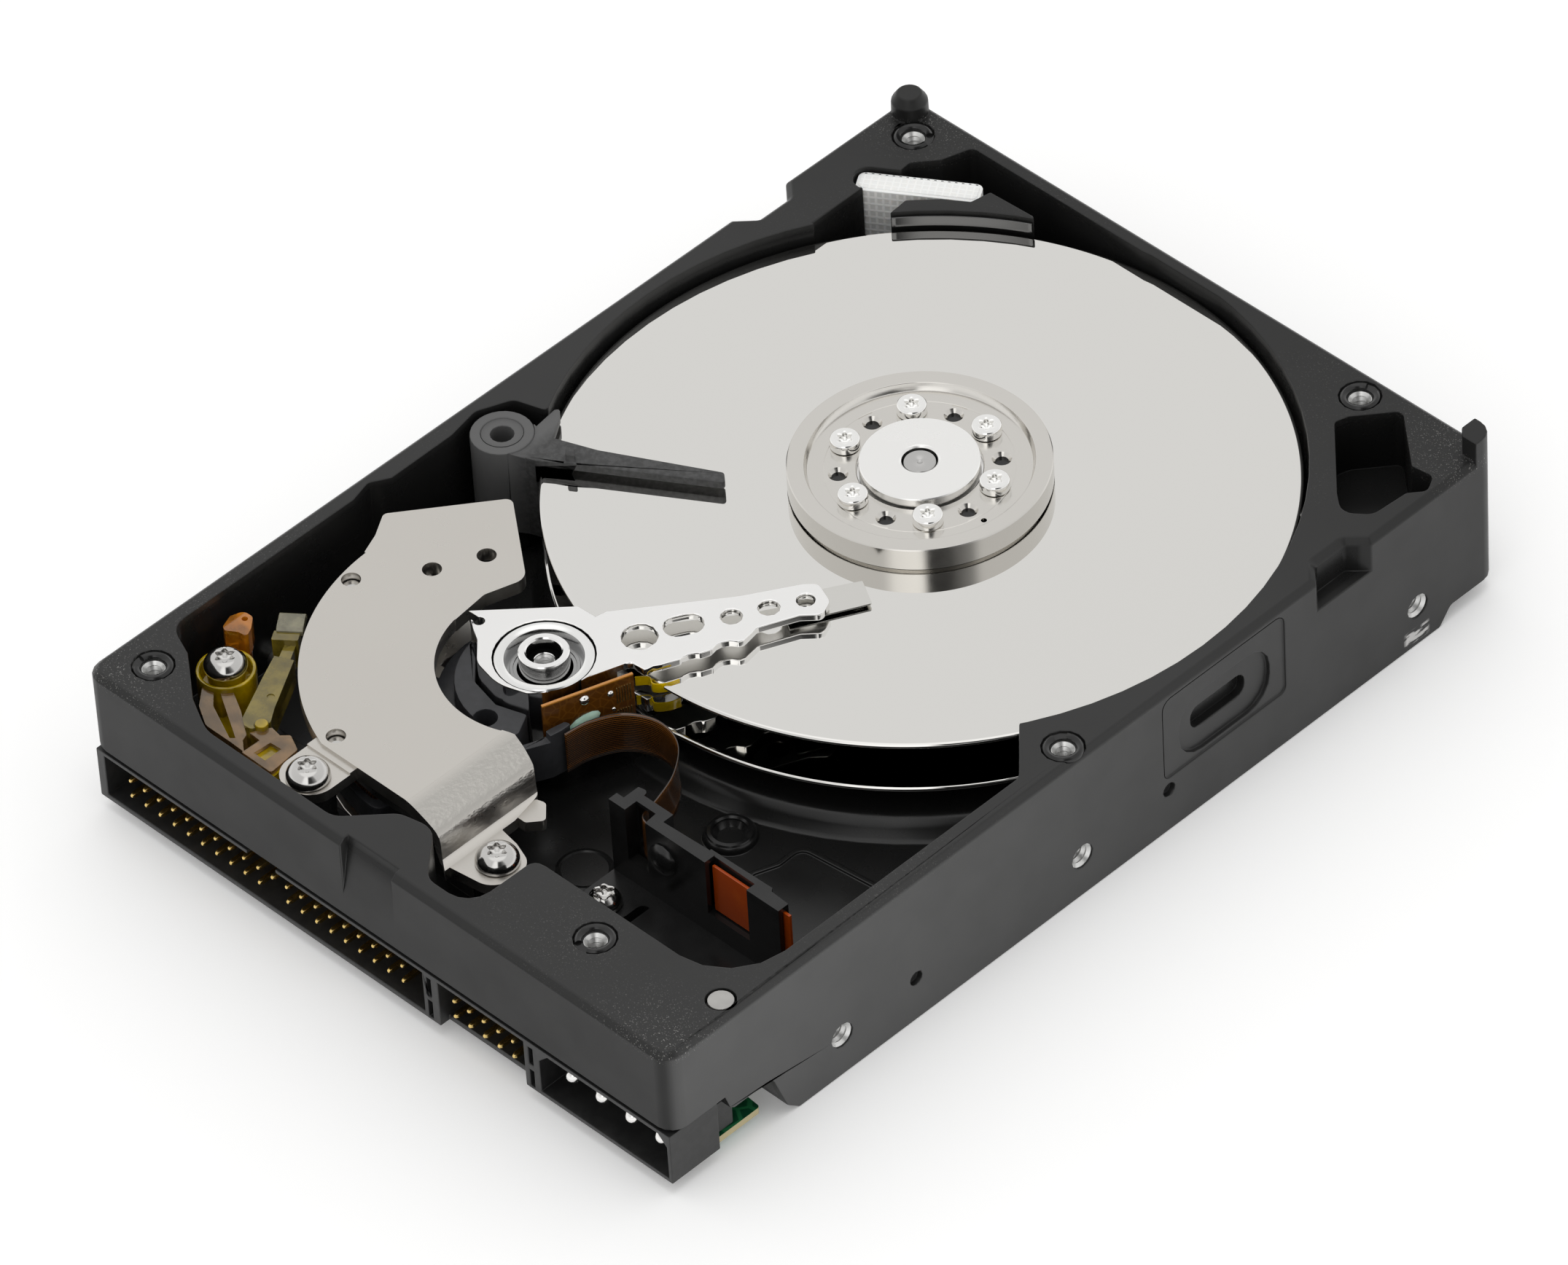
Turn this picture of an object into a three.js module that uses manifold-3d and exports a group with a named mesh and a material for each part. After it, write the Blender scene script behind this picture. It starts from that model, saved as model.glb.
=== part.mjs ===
// Hard disk drive with its top cover off: a cast base with two discs, a head actuator and its magnet yoke.
// Units are millimetres. +Z is up out of the open side, the connectors face -Y, and the origin is the
// middle of the footprint at the height of the side rails' undersides.
import * as THREE from 'three';
import { mergeVertices } from 'three/addons/utils/BufferGeometryUtils.js';
import Module from 'manifold-3d';

const wasm = await Module();
wasm.setup();

// ---------------------------------------------------------------- driving dimensions
const WIDTH = 101.6;                 // 3.5-inch form factor
const LENGTH = 144.6;
const DECK = 23;                     // top of the casting's rim
const HEIGHT = 26.1;                 // top of the two corner posts
const SIDE = WIDTH / 2;
const END = LENGTH / 2;
const CORNER = 2.5;

const FLOOR_UNDER = 3.5;             // underside of the casting's floor
const FLOOR = 5.5;                   // floor around the actuator
const DISC_FLOOR = 8.3;              // raised floor under the discs
const CONNECTOR_FLOOR = 12.2;        // floor above the connector block

const SPINDLE = [0, 22.3];
const DISC_RADIUS = 47.5;
const DISC_BORE = 12.7;
const DISC_THICKNESS = 0.8;
const LOWER_DISC = 12.5;             // underside of each disc
const UPPER_DISC = 19.7;
const SHROUD_RADIUS = 48.2;

const PIVOT = [-10.6, -32.6];
const ARM_ANGLE = 60;                // direction of the arms with the heads parked at the inner stop
const ARM_LEVELS = [[9.6, 10.9], [15.4, 17.6], [21.3, 22.6]];
const YOKE_TOP = 22;
const YOKE_UPPER = 20;
const YOKE_INNER = 13.5;
const YOKE_OUTER = 30.2;
const COIL_LOW = 13;
const COIL_HIGH = 16.4;

const TORX_RADIUS = 0.95;
const SCREW_HEAD = 2.85;
const HOLE_PITCH = [28.5, 70.1, 130.1];          // side holes, from the connector end
const UNDER_HOLE_PITCH = [41.3, 85.7, 117.5];    // underside holes, from the connector end
const SIDE_HOLE_HEIGHT = 6.35;
const TAPPED_RADIUS = 1.75;                      // 6-32 thread, drawn as a plain hole

const PIN_PITCH = 2.54;
const IDE_COLUMNS = 20;
const IDE_FIRST = -44.72;
const JUMPER_COLUMNS = 5;
const JUMPER_FIRST = 12.6;
const POWER_FIRST = 31.55;
const POWER_PITCH = 5.08;
const POWER_PINS = 4;

// ---------------------------------------------------------------- materials
function finish(colour, roughness, metalness) {
  return new THREE.MeshStandardMaterial({ color: colour, roughness, metalness });
}

const CASTING = finish(0x3a3a3b, 0.45, 0.3);
const STEEL = finish(0xc9c6c1, 0.3, 0.9);
const MIRROR = finish(0xd6d4d1, 0.05, 1);
const ALUMINIUM = finish(0xe4e3e0, 0.35, 0.9);
const MAGNET = finish(0x9a9a98, 0.35, 0.9);
const COPPER = finish(0xb4622e, 0.4, 0.8);
const BLACK_PLASTIC = finish(0x141414, 0.35, 0);
const GREY_PLASTIC = finish(0x4b4b4c, 0.5, 0);
const AMBER_PLASTIC = finish(0xb98a22, 0.25, 0);
const ORANGE_RUBBER = finish(0xc8641a, 0.5, 0);
const POLYIMIDE = finish(0x9a5412, 0.25, 0);
const FILTER_FABRIC = finish(0xe9e8e4, 0.95, 0);
const GREEN_BOARD = finish(0x1f6b3c, 0.4, 0);
const GREEN_RESIN = finish(0x8fc4ad, 0.3, 0);
const GOLD = finish(0xd8b25a, 0.25, 1);

// ---------------------------------------------------------------- shape helpers
// Turns a closed geometry into a solid that can be joined and cut.
function solid(geometry) {
  geometry.deleteAttribute('normal');
  geometry.deleteAttribute('uv');
  const merged = mergeVertices(geometry, 1e-4);
  const corners = [];
  for (let i = 0; i < merged.index.count; i += 3) {
    const [a, b, c] = merged.index.array.slice(i, i + 3);
    if (a !== b && b !== c && c !== a) corners.push(a, b, c);
  }
  const mesh = new wasm.Mesh({
    numProp: 3,
    vertProperties: Float32Array.from(merged.attributes.position.array),
    triVerts: Uint32Array.from(corners),
  });
  return new wasm.Manifold(mesh);
}

function box(low, high) {
  const size = high.map((value, axis) => value - low[axis]);
  const middle = high.map((value, axis) => (value + low[axis]) / 2);
  return solid(new THREE.BoxGeometry(...size).translate(...middle));
}

function cylinder([x, y], radius, low, high, sides = 24) {
  const geometry = new THREE.CylinderGeometry(radius, radius, high - low, sides);
  return solid(geometry.rotateX(Math.PI / 2).translate(x, y, (low + high) / 2));
}

// A round bar along X between two places.
function crossBar(fromX, toX, y, z, radius, sides = 12) {
  const geometry = new THREE.CylinderGeometry(radius, radius, toX - fromX, sides);
  return solid(geometry.rotateZ(-Math.PI / 2).translate((fromX + toX) / 2, y, z));
}

// A closed outline through corners [x, y, radius]; a corner with a radius is rounded by it.
function outline(corners) {
  const shape = new THREE.Shape();
  corners.forEach(([x, y, radius = 0], index) => {
    const corner = new THREE.Vector2(x, y);
    const towards = [corners.at(index - 1), corners[(index + 1) % corners.length]]
      .map(([otherX, otherY]) => new THREE.Vector2(otherX, otherY).sub(corner).normalize());
    const half = Math.acos(THREE.MathUtils.clamp(towards[0].dot(towards[1]), -1, 1)) / 2;
    const reach = radius / Math.tan(half);
    const start = corner.clone().addScaledVector(towards[0], reach);
    const end = corner.clone().addScaledVector(towards[1], reach);
    if (index === 0) shape.moveTo(start.x, start.y);
    else shape.lineTo(start.x, start.y);
    if (radius > 0) {
      const bisector = towards[0].clone().add(towards[1]).normalize();
      const centre = corner.clone().addScaledVector(bisector, radius / Math.sin(half));
      const clockwise = towards[0].cross(towards[1]) > 0;
      const startAngle = start.clone().sub(centre).angle();
      const endAngle = end.clone().sub(centre).angle();
      shape.absarc(centre.x, centre.y, radius, startAngle, endAngle, clockwise);
    }
  });
  return shape;
}

function prism(corners, low, high, smoothness = 2) {
  const options = { depth: high - low, bevelEnabled: false, curveSegments: smoothness };
  return solid(new THREE.ExtrudeGeometry(outline(corners), options).translate(0, 0, low));
}

// A prism along X with its outline in the YZ plane.
function sideways(corners, fromX, toX) {
  const options = { depth: toX - fromX, bevelEnabled: false, curveSegments: 2 };
  const geometry = new THREE.ExtrudeGeometry(outline(corners), options);
  return solid(geometry.rotateX(Math.PI / 2).rotateZ(Math.PI / 2).translate(fromX, 0, 0));
}

// A prism along Y with its outline in the XZ plane.
function lengthways(corners, fromY, toY) {
  const options = { depth: toY - fromY, bevelEnabled: false, curveSegments: 2 };
  const geometry = new THREE.ExtrudeGeometry(outline(corners), options);
  return solid(geometry.rotateX(Math.PI / 2).translate(0, toY, 0));
}

// A body of revolution about a vertical axis; the profile lists [radius, z] and closes on itself.
function turned(profile, [x, y], sides = 64) {
  const points = [...profile, profile[0]].map(([radius, z]) => new THREE.Vector2(radius, z));
  const geometry = new THREE.LatheGeometry(points, sides);
  return solid(geometry.rotateX(Math.PI / 2).translate(x, y, 0));
}

function polar([x, y], radius, degrees) {
  const angle = THREE.MathUtils.degToRad(degrees);
  return [x + radius * Math.cos(angle), y + radius * Math.sin(angle)];
}

// A flat ring sector about a centre, with its corners rounded.
function sector(centre, inner, outer, from, to, low, high, rounding = 0) {
  const steps = Math.ceil((to - from) / 8);
  const angles = Array.from({ length: steps + 1 }, (_, i) => from + (to - from) * i / steps);
  const isEnd = (i) => i === 0 || i === steps;
  const outside = angles.map((angle, i) => [...polar(centre, outer, angle), isEnd(i) ? rounding : 0]);
  const inside = angles.map((angle, i) => [...polar(centre, inner, angle), isEnd(i) ? rounding : 0]);
  return prism([...outside, ...inside.reverse()], low, high);
}

// Places drawn for the actuator: along runs out along the arms, across runs to the left of them.
function armPoint(along, across, radius = 0) {
  const [x, y] = polar(PIVOT, along, ARM_ANGLE);
  return [...polar([x, y], across, ARM_ANGLE + 90), radius];
}

const model = new THREE.Group();

function add(name, body, material) {
  const { vertProperties, triVerts } = body.getMesh();
  const geometry = new THREE.BufferGeometry();
  geometry.setAttribute('position', new THREE.BufferAttribute(vertProperties, 3));
  geometry.setIndex(new THREE.BufferAttribute(triVerts, 1));
  geometry.computeVertexNormals();
  const mesh = new THREE.Mesh(geometry, material);
  mesh.name = name;
  model.add(mesh);
}

// A pan-head screw: a domed head with a socket, standing on its shank.
function screw(place, seat, headRadius, headHeight, shankRadius, shankLength) {
  const profile = [
    [0, seat - shankLength], [shankRadius, seat - shankLength], [shankRadius, seat], [headRadius, seat],
    [headRadius, seat + headHeight * 0.5], [headRadius * 0.6, seat + headHeight], [0, seat + headHeight],
  ];
  const socketRadius = Math.min(TORX_RADIUS, headRadius * 0.5);
  const socket = cylinder(place, socketRadius, seat + headHeight * 0.4, seat + headHeight * 2, 6);
  return turned(profile, place, 14).subtract(socket);
}

// ---------------------------------------------------------------- casting
const BODY_OUTLINE = [
  [-SIDE, -END, CORNER], [SIDE, -END, CORNER],
  [SIDE, 39.8], [SIDE - 2.5, 42.3, 0.8], [SIDE - 2.5, 47.4, 0.8], [SIDE, 49.7],
  [SIDE, END, CORNER], [-SIDE, END, CORNER],
  [-SIDE, 49.7], [2.5 - SIDE, 47.4, 0.8], [2.5 - SIDE, 42.3, 0.8], [-SIDE, 39.8],
];
const PLAIN_OUTLINE = [
  [-SIDE, -END, CORNER], [SIDE, -END, CORNER], [SIDE, END, CORNER], [-SIDE, END, CORNER],
];
// The well for the actuator, the latch and the flex bracket, in front of the discs.
const WELL_OUTLINE = [
  [-42.2, 5], [-42.3, -1.5, 0.6], [-46.6, -2.8, 1.5], [-48.6, -7.5, 2], [-47.6, -12.5], [-47.5, -23],
  [-49, -25.6, 1], [-48.1, -29], [-48.1, -59.8, 3], [-43.2, -61.8], [-36.7, -67, 2], [-31.5, -69.7, 6],
  [-9, -69.8, 3], [-3.4, -64, 3], [1.5, -63, 3], [7.2, -69.6, 3], [14.4, -69.6, 3.5], [14.5, -58.6, 1.5],
  [47.8, -58.5, 9], [47.8, -9.5, 2], [41, -2.4, 1.5], [36, 5],
];
const FILTER_WELL_OUTLINE = [
  [-42.3, 46], [-42.3, 55], [-41, 60], [-41.2, 62.6, 1], [-38.6, 65.6, 1.5], [-37.2, 69.9, 1], [2, 69.9], [2, 46],
];
const AIR_WEDGE_OUTLINE = [
  [-36.3, 53.6], [-36.6, 57], [-33.4, 60.2], [-30.2, 62.3], [-29.6, 65.3], [-22.3, 65.6, 0.4], [-15, 60], [-25, 45],
];
const RELIEF_POCKET_OUTLINE = [
  [37.5, 69.7, 1], [45.2, 63, 0.5], [48.4, 63.4, 1], [49.7, 61, 1], [48, 59, 1], [47.6, 53.4, 2],
  [44.5, 51, 2], [41.7, 53.3], [32.6, 62.6, 0.8], [33.2, 64.5, 1],
];
const FILTER_PLACE = [-37.6, 60.5];
const FILTER_ANGLE = 32.5;
const DECK_SCREWS = [[-44.6, 66.6], [31.6, 68.3], [48, -2], [-44.7, -66.2], [29.5, -63.2]];
const YOKE_FRONT_SCREW = [-17.5, -66];
const YOKE_SIDE_SCREW = [6.8, -57.9];
const YOKE_SIDE_TAB = 17;
const LATCH_SCREW = [-41.6, -57.4];
const LATCH_PIVOT = [-31.2, -61.2];
const COMB_SCREW = [-43.6, -7.7];
const BRACKET_SCREW = [14.8, -48.3];
const FLOOR_BOSS = [15.8, -27.9];
const BOARD_SCREWS = [[-38, 8], [38, 8], [0, -40]];

function filterBar(length, width, low, high) {
  const [x, y] = FILTER_PLACE;
  const corners = [
    [-length / 2, -width / 2, width * 0.45], [length / 2, -width / 2, width * 0.45],
    [length / 2, width / 2, width * 0.45], [-length / 2, width / 2, width * 0.45],
  ];
  return prism(corners, low, high).rotate([0, 0, FILTER_ANGLE]).translate([x, y, 0]);
}

function castingBlock() {
  const bevel = 0.8;
  const options = {
    depth: DECK - 2 * bevel, bevelThickness: bevel, bevelSize: bevel, bevelOffset: -bevel,
    bevelSegments: 1, curveSegments: 2,
  };
  const rim = solid(new THREE.ExtrudeGeometry(outline(BODY_OUTLINE), options).translate(0, 0, bevel));
  return rim.add(prism(PLAIN_OUTLINE, 0, 18));
}

function castingWell() {
  const shroud = cylinder(SPINDLE, SHROUD_RADIUS, DISC_FLOOR, DECK + 1, 72);
  const discWell = shroud.intersect(box([-SIDE, -END, 0], [SIDE, 70.1, DECK + 2]));
  const frontStep = box([-SIDE, -END, 0], [SIDE, -61, CONNECTOR_FLOOR]);
  const step = box([-SIDE, -62, 0], [SIDE, -54.5, 9.6]);
  const plinth = turned([
    [0, 0], [50.6, 0], [50.6, FLOOR], [49.6, 5.3], [48.7, 5.9], [48, 6.9], [47.3, 7.8], [46.2, DISC_FLOOR], [0, DISC_FLOOR],
  ], SPINDLE, 72);
  const well = prism(WELL_OUTLINE, FLOOR, DECK + 1).subtract(frontStep).subtract(step).subtract(plinth);
  const filterWell = prism(FILTER_WELL_OUTLINE, DISC_FLOOR, DECK + 1);
  const filterSlot = filterBar(17, 4.1, DISC_FLOOR, DECK + 1);
  const wedge = prism(AIR_WEDGE_OUTLINE, 0, DECK + 2).subtract(shroud).subtract(filterSlot);
  return discWell.add(well).add(filterWell.subtract(wedge)).add(filterSlot);
}

// The hollow below the floor, open at the front for the connector block.
function castingUnderside() {
  const inner = SIDE - 6.5;
  const hollow = box([-inner, -54, -1], [inner, 60.5, FLOOR_UNDER]);
  const profile = [
    [-80, -1], [-80, 10.4], [-63.4, 10.4], [-62.7, 8.2, 0.5], [-62, 7.7], [-55.6, 7.7, 1],
    [-53.4, 1.6, 1.5], [-51.5, 0], [-51.5, -1],
  ];
  const frontGap = sideways(profile, -60, 60);
  const farGap = sideways([[61.8, -1], [61.8, 0], [63.8, 2.4, 1], [80, 2.4], [80, -1]], -60, 60);
  return hollow.add(frontGap).add(farGap);
}

function castingHoles() {
  let holes = cylinder(SPINDLE, 15.3, 0, DISC_FLOOR + 1, 40);
  for (const place of DECK_SCREWS) {
    holes = holes.add(cylinder(place, 1.5, DECK - 8, DECK + 1, 12));
    holes = holes.add(cylinder(place, 2.75, DECK - 0.5, DECK + 1, 14));
  }
  for (const pitch of HOLE_PITCH) {
    const y = pitch - END;
    holes = holes.add(crossBar(SIDE - 4.5, SIDE + 1, y, SIDE_HOLE_HEIGHT, TAPPED_RADIUS));
    holes = holes.add(crossBar(-SIDE - 1, 4.5 - SIDE, y, SIDE_HOLE_HEIGHT, TAPPED_RADIUS));
  }
  for (const pitch of UNDER_HOLE_PITCH) {
    for (const x of [-47.62, 47.62]) {
      holes = holes.add(cylinder([x, pitch - END], TAPPED_RADIUS, -1, 4, 12));
    }
  }
  for (const y of [-31.1, 13.1]) {
    holes = holes.add(crossBar(SIDE - 0.8, SIDE + 1, y, 6.7, 1));
  }
  for (const place of BOARD_SCREWS) {
    holes = holes.add(cylinder(place, 1.4, 0, FLOOR_UNDER + 1.4, 12));
  }
  return holes;
}

// The breather on the right-hand side: a slot inside a sunken oval.
function sideSlot() {
  const oval = [[15.4, 9.3, 4], [31.4, 9.3, 4], [31.4, 18.8, 4], [15.4, 18.8, 4]];
  const slot = [[18, 12.6, 1.4], [27.5, 12.6, 1.4], [27.5, 16, 1.4], [18, 16, 1.4]];
  const panel = [[12.4, 8.6, 1], [34, 8.6, 1], [34, 21.6, 1.5], [12.4, 21.6, 1.5]];
  return sideways(panel, SIDE - 0.2, SIDE + 1)
    .add(sideways(oval, SIDE - 0.8, SIDE + 1))
    .add(sideways(slot, SIDE - 2, SIDE + 1));
}

// The low lip around the sunken part of the floor behind the flex bracket.
function floorLip(grow) {
  return prism([
    [22.8 - grow, -37], [22.8 - grow, -30.7, 1], [24 - grow, -27.6, 1.5], [23.9 - grow, -23.8 + grow, 1.4 + grow],
    [47, -21.4 + grow], [47, -37],
  ], 5, 5.8);
}

// Pads and posts that stand up from the floor and carry the screwed-down pieces.
function castingPosts() {
  let posts = cylinder(YOKE_FRONT_SCREW, 3.2, 11, 19.7, 20);
  posts = posts.add(cylinder(YOKE_SIDE_SCREW, 3.2, 9, 15.3, 20));
  posts = posts.add(cylinder(LATCH_SCREW, 4, 9, 12.2, 20));
  posts = posts.add(cylinder(COMB_SCREW, 3.8, 5, 9.2, 20));
  posts = posts.add(cylinder(PIVOT, 5, 5, 7.4, 20));
  posts = posts.add(turned([[0, 5], [3.5, 5], [3.4, 6.1], [3, 6.5], [2.2, 6.5], [2.2, 5.3], [0, 5.3]], FLOOR_BOSS, 28));
  return posts.add(floorLip(0.7).subtract(floorLip(0)));
}

function postHoles() {
  return cylinder(YOKE_FRONT_SCREW, 1.3, 13, 20, 12)
    .add(cylinder(YOKE_SIDE_SCREW, 1.3, 10, 16, 12))
    .add(cylinder(LATCH_SCREW, 1.3, 8, 13, 12))
    .add(cylinder(COMB_SCREW, 1.3, 6.5, 10, 12));
}

function cornerPosts() {
  const profile = [[0, DECK - 1], [2.45, DECK - 1], [2.4, HEIGHT - 1.2], [1.6, HEIGHT], [0, HEIGHT]];
  const left = turned(profile, [2.5 - SIDE, END - 2.5], 24);
  const right = prism([[47.3, 69.9], [48.5, 68.7], [SIDE, 68.7], [SIDE, END, CORNER], [47.3, END]], DECK - 1, HEIGHT);
  return left.add(right);
}

// The dished stretch of the front wall, deepest at the deck.
function frontScoop() {
  const profile = [[-END - 1, 14], [-END, 14], [1.5 - END, DECK], [1.5 - END, DECK + 1], [-END - 1, DECK + 1]];
  return sideways(profile, -5.3, 3.6);
}

function baseCasting() {
  return castingBlock()
    .subtract(castingWell())
    .subtract(castingUnderside())
    .add(castingPosts())
    .subtract(castingHoles())
    .subtract(postHoles())
    .subtract(prism(RELIEF_POCKET_OUTLINE, 14, DECK + 1))
    .subtract(cylinder([48, -60.5], 1.9, DECK - 1.2, DECK + 1, 20))
    .subtract(sideSlot())
    .subtract(frontScoop())
    .add(cornerPosts());
}

add('base_casting', baseCasting(), CASTING);
add('locating_plug', cylinder([48, -60.5], 1.65, DECK - 1.1, DECK - 0.1, 20), ALUMINIUM);

// ---------------------------------------------------------------- spindle motor and discs
const CLAMP_SCREW_CIRCLE = 10.2;
const CLAMP_SCREW_ANGLES = [20, 80, 140, 200, 260, 320];
const SHAFT_RADIUS = 2.05;

function clampScrewHoles(radius, low, high) {
  const holes = CLAMP_SCREW_ANGLES.map((angle) => {
    return cylinder(polar(SPINDLE, CLAMP_SCREW_CIRCLE, angle), radius, low, high, 8);
  });
  return holes.reduce((all, hole) => all.add(hole));
}

function spindleStator() {
  const profile = [
    [2.3, 3.4], [14.9, 3.4], [14.9, 5.4], [11, 5.4], [11, 10.4], [6, 10.4], [6, 6.2], [2.3, 6.2],
  ];
  return turned(profile, SPINDLE, 32);
}

function hub() {
  const profile = [
    [2.4, 11.4], [13.3, 11.4], [13.3, 6.2], [14.5, 6.2], [14.5, 9.6], [16.2, 9.6], [16.2, 12.4],
    [12.4, 12.4], [12.4, 22.2], [2.4, 22.2],
  ];
  return turned(profile, SPINDLE, 32).subtract(clampScrewHoles(1.15, 19.5, 23));
}

function hubCap() {
  const profile = [
    [2.3, 22.4], [7.6, 22.4], [7.6, 24.2], [7.45, 24.35], [2.6, 24.35], [2.3, 24.1],
  ];
  return turned(profile, SPINDLE, 32);
}

function spindleShaft() {
  const profile = [[0, 3.4], [2, 3.4], [SHAFT_RADIUS, 23.9], [0.4, 24], [0, 23.7]];
  return turned(profile, SPINDLE, 20);
}

function disc(underside) {
  const top = underside + DISC_THICKNESS;
  const profile = [[DISC_BORE, underside], [DISC_RADIUS, underside], [DISC_RADIUS, top], [DISC_BORE, top]];
  return turned(profile, SPINDLE, 72);
}

function discClamp() {
  const foot = UPPER_DISC + DISC_THICKNESS + 0.1;
  const profile = [
    [13.2, foot], [16.1, foot], [16.1, 20.9], [16.6, 20.9], [16.6, 24], [16.5, 24.1], [14.4, 24.1],
    [14, 23.05], [7.9, 23.05], [7.9, 22.3], [13.2, 22.3],
  ];
  const airHoles = CLAMP_SCREW_ANGLES.map((angle) => {
    return cylinder(polar(SPINDLE, CLAMP_SCREW_CIRCLE, angle + 30), 1.2, 22, 24, 8);
  });
  const ring = turned(profile, SPINDLE, 40).subtract(clampScrewHoles(1.15, 22, 24));
  return airHoles.reduce((body, hole) => body.subtract(hole), ring);
}

add('spindle_stator', spindleStator(), COPPER);
add('spindle_shaft', spindleShaft(), STEEL);
add('rotor_magnet', turned([[11.8, 6.6], [13, 6.6], [13, 11.1], [11.8, 11.1]], SPINDLE, 32), MAGNET);
add('hub', hub(), ALUMINIUM);
add('hub_cap', hubCap(), STEEL);
add('platter_lower', disc(LOWER_DISC), MIRROR);
add('platter_upper', disc(UPPER_DISC), MIRROR);
add('spacer_ring', turned([[12.7, 13.4], [16.3, 13.4], [16.3, 19.6], [12.7, 19.6]], SPINDLE, 32), ALUMINIUM);
add('disc_clamp', discClamp(), STEEL);
CLAMP_SCREW_ANGLES.forEach((angle, index) => {
  const place = polar(SPINDLE, CLAMP_SCREW_CIRCLE, angle);
  add(`clamp_screw_${index + 1}`, screw(place, 23.15, 1.9, 1.3, 0.95, 3.2), STEEL);
});

// ---------------------------------------------------------------- magnet yoke
function upperYoke() {
  const ring = sector(PIVOT, YOKE_INNER, YOKE_OUTER, 182, 296, YOKE_UPPER, YOKE_TOP);
  const back = prism([
    [-34.4, -14.9, 1], [-22.6, -24, 2], [-24.4, -29.5, 1], [-23.8, -35], [-41, -34], [-42.2, -31, 2],
    [-44.3, -27.6, 0.8],
  ], YOKE_UPPER, YOKE_TOP);
  const frontTrim = prism([[-23, -61.3], [-23, -80], [20, -80], [20, -30], [-5, -30], [-5, -61.3]], 0, 30);
  const tab = prism([[-21.6, -61.6], [-21.6, -69, 3.5], [-14, -69, 3.5], [-14, -61.6]], 19.8, 21.3);
  const shoulder = prism([[-21.6, -62.3], [-14, -62.3], [-14, -59], [-21.6, -59]], YOKE_UPPER, 21.6);
  const plate = ring.add(back).subtract(frontTrim).add(tab).add(shoulder);
  return plate.add(yokeRamp()).subtract(yokeHoles());
}

// The right-hand end of the upper plate, bent down to a lower screw tab.
function yokeRamp() {
  const bend = lengthways([
    [-5.4, 20], [-3.6, 19.9], [-0.8, 19.2], [0.9, 15.4], [3.2, 15.4], [3.2, 17], [2.3, 17.1, 0.5], [1.5, 20.3, 1],
    [0.1, 20.9], [-5, 22], [-5.4, 22],
  ], -64, -44);
  const rampOutline = [
    [-5.4, -44.9], [-3.8, -44.3], [-1.8, -44.8], [0.6, -45.6], [2.2, -46.6, 1], [3.3, -52], [3.3, -63.4],
    [1.2, -61.9], [-5.4, -61.3],
  ];
  const tab = prism([[2.4, -52.6], [3.3, -53.7], [6.3, -54.2, 2], [10.2, -55.6, 2.5], [10.2, -61.6, 3], [2.4, -62.6]],
    15.4, YOKE_SIDE_TAB);
  const hook = prism([[2.4, -47.2, 0.3], [3.8, -46.8, 0.8], [6, -49, 0.6], [4.4, -50.9, 0.6], [2.4, -50.9]],
    15.4, YOKE_SIDE_TAB);
  return bend.intersect(prism(rampOutline, 0, 30)).add(tab).add(hook);
}

function yokeHoles() {
  let holes = cylinder(YOKE_FRONT_SCREW, 1.6, 15, 23, 10).add(cylinder(YOKE_SIDE_SCREW, 1.6, 12, 20, 10));
  for (const place of [[-29.3, -24.3], [-32.5, -30.6], [-38.6, -38.6], [-19.7, -59.2]]) {
    holes = holes.add(cylinder(place, 1.25, 19, 23, 12));
  }
  return holes;
}

function lowerYoke() {
  const ring = sector(PIVOT, YOKE_INNER, YOKE_OUTER - 1.5, 186, 262, 9.8, 11.4);
  const ear = sector(PIVOT, YOKE_INNER + 4, YOKE_OUTER - 0.5, 160, 190, 9.8, 11.4);
  return ring.add(ear);
}

add('yoke_lower_plate', lowerYoke(), STEEL);
add('yoke_upper_plate', upperYoke(), STEEL);
add('magnet_lower', sector(PIVOT, 15, 27.4, 196, 258, 11.5, 12.5), MAGNET);
add('magnet_upper', sector(PIVOT, 15, 28, 188, 284, 17.6, 19.8), MAGNET);
add('yoke_post', cylinder(polar(PIVOT, 25, 168), 2, 11.5, 19.9, 14), STEEL);
add('yoke_screw_front', screw(YOKE_FRONT_SCREW, 21.4, SCREW_HEAD, 1.6, 1.2, 6), STEEL);
add('yoke_screw_side', screw(YOKE_SIDE_SCREW, YOKE_SIDE_TAB + 0.1, SCREW_HEAD, 1.6, 1.2, 5), STEEL);

// ---------------------------------------------------------------- actuator
const BEARING_RADIUS = 6.2;
const CARRIAGE_TOP = ARM_LEVELS[2][1];
const CARRIAGE_LOW = ARM_LEVELS[0][0];
const BAND = 1;                      // room above and below each disc

// Plan of one arm, from its root at the carriage to its rounded tip.
const ARM_OUTLINE = [
  [-10.6, -21.9], [-0.4, -9], [3.9, -2.2], [5.2, -0.9, 1.2], [8.6, -2.2, 1.5], [9.6, -4.6, 1],
  [7.6, -6.6], [5.3, -11.6], [5.7, -14.2], [0.4, -26.2], [-1.7, -26.3], [-5, -31], [-12, -28],
];
const CORE_OUTLINE = [
  [-23.4, -33.2], [-13.9, -23.6], [-7, -23.2], [-1.9, -26.2], [-5.8, -37.2, 1], [-7.3, -38.7, 1],
  [-11.3, -40, 6], [-15.9, -39, 3], [-18.8, -36.1, 1], [-20.4, -35.2],
];

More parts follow.
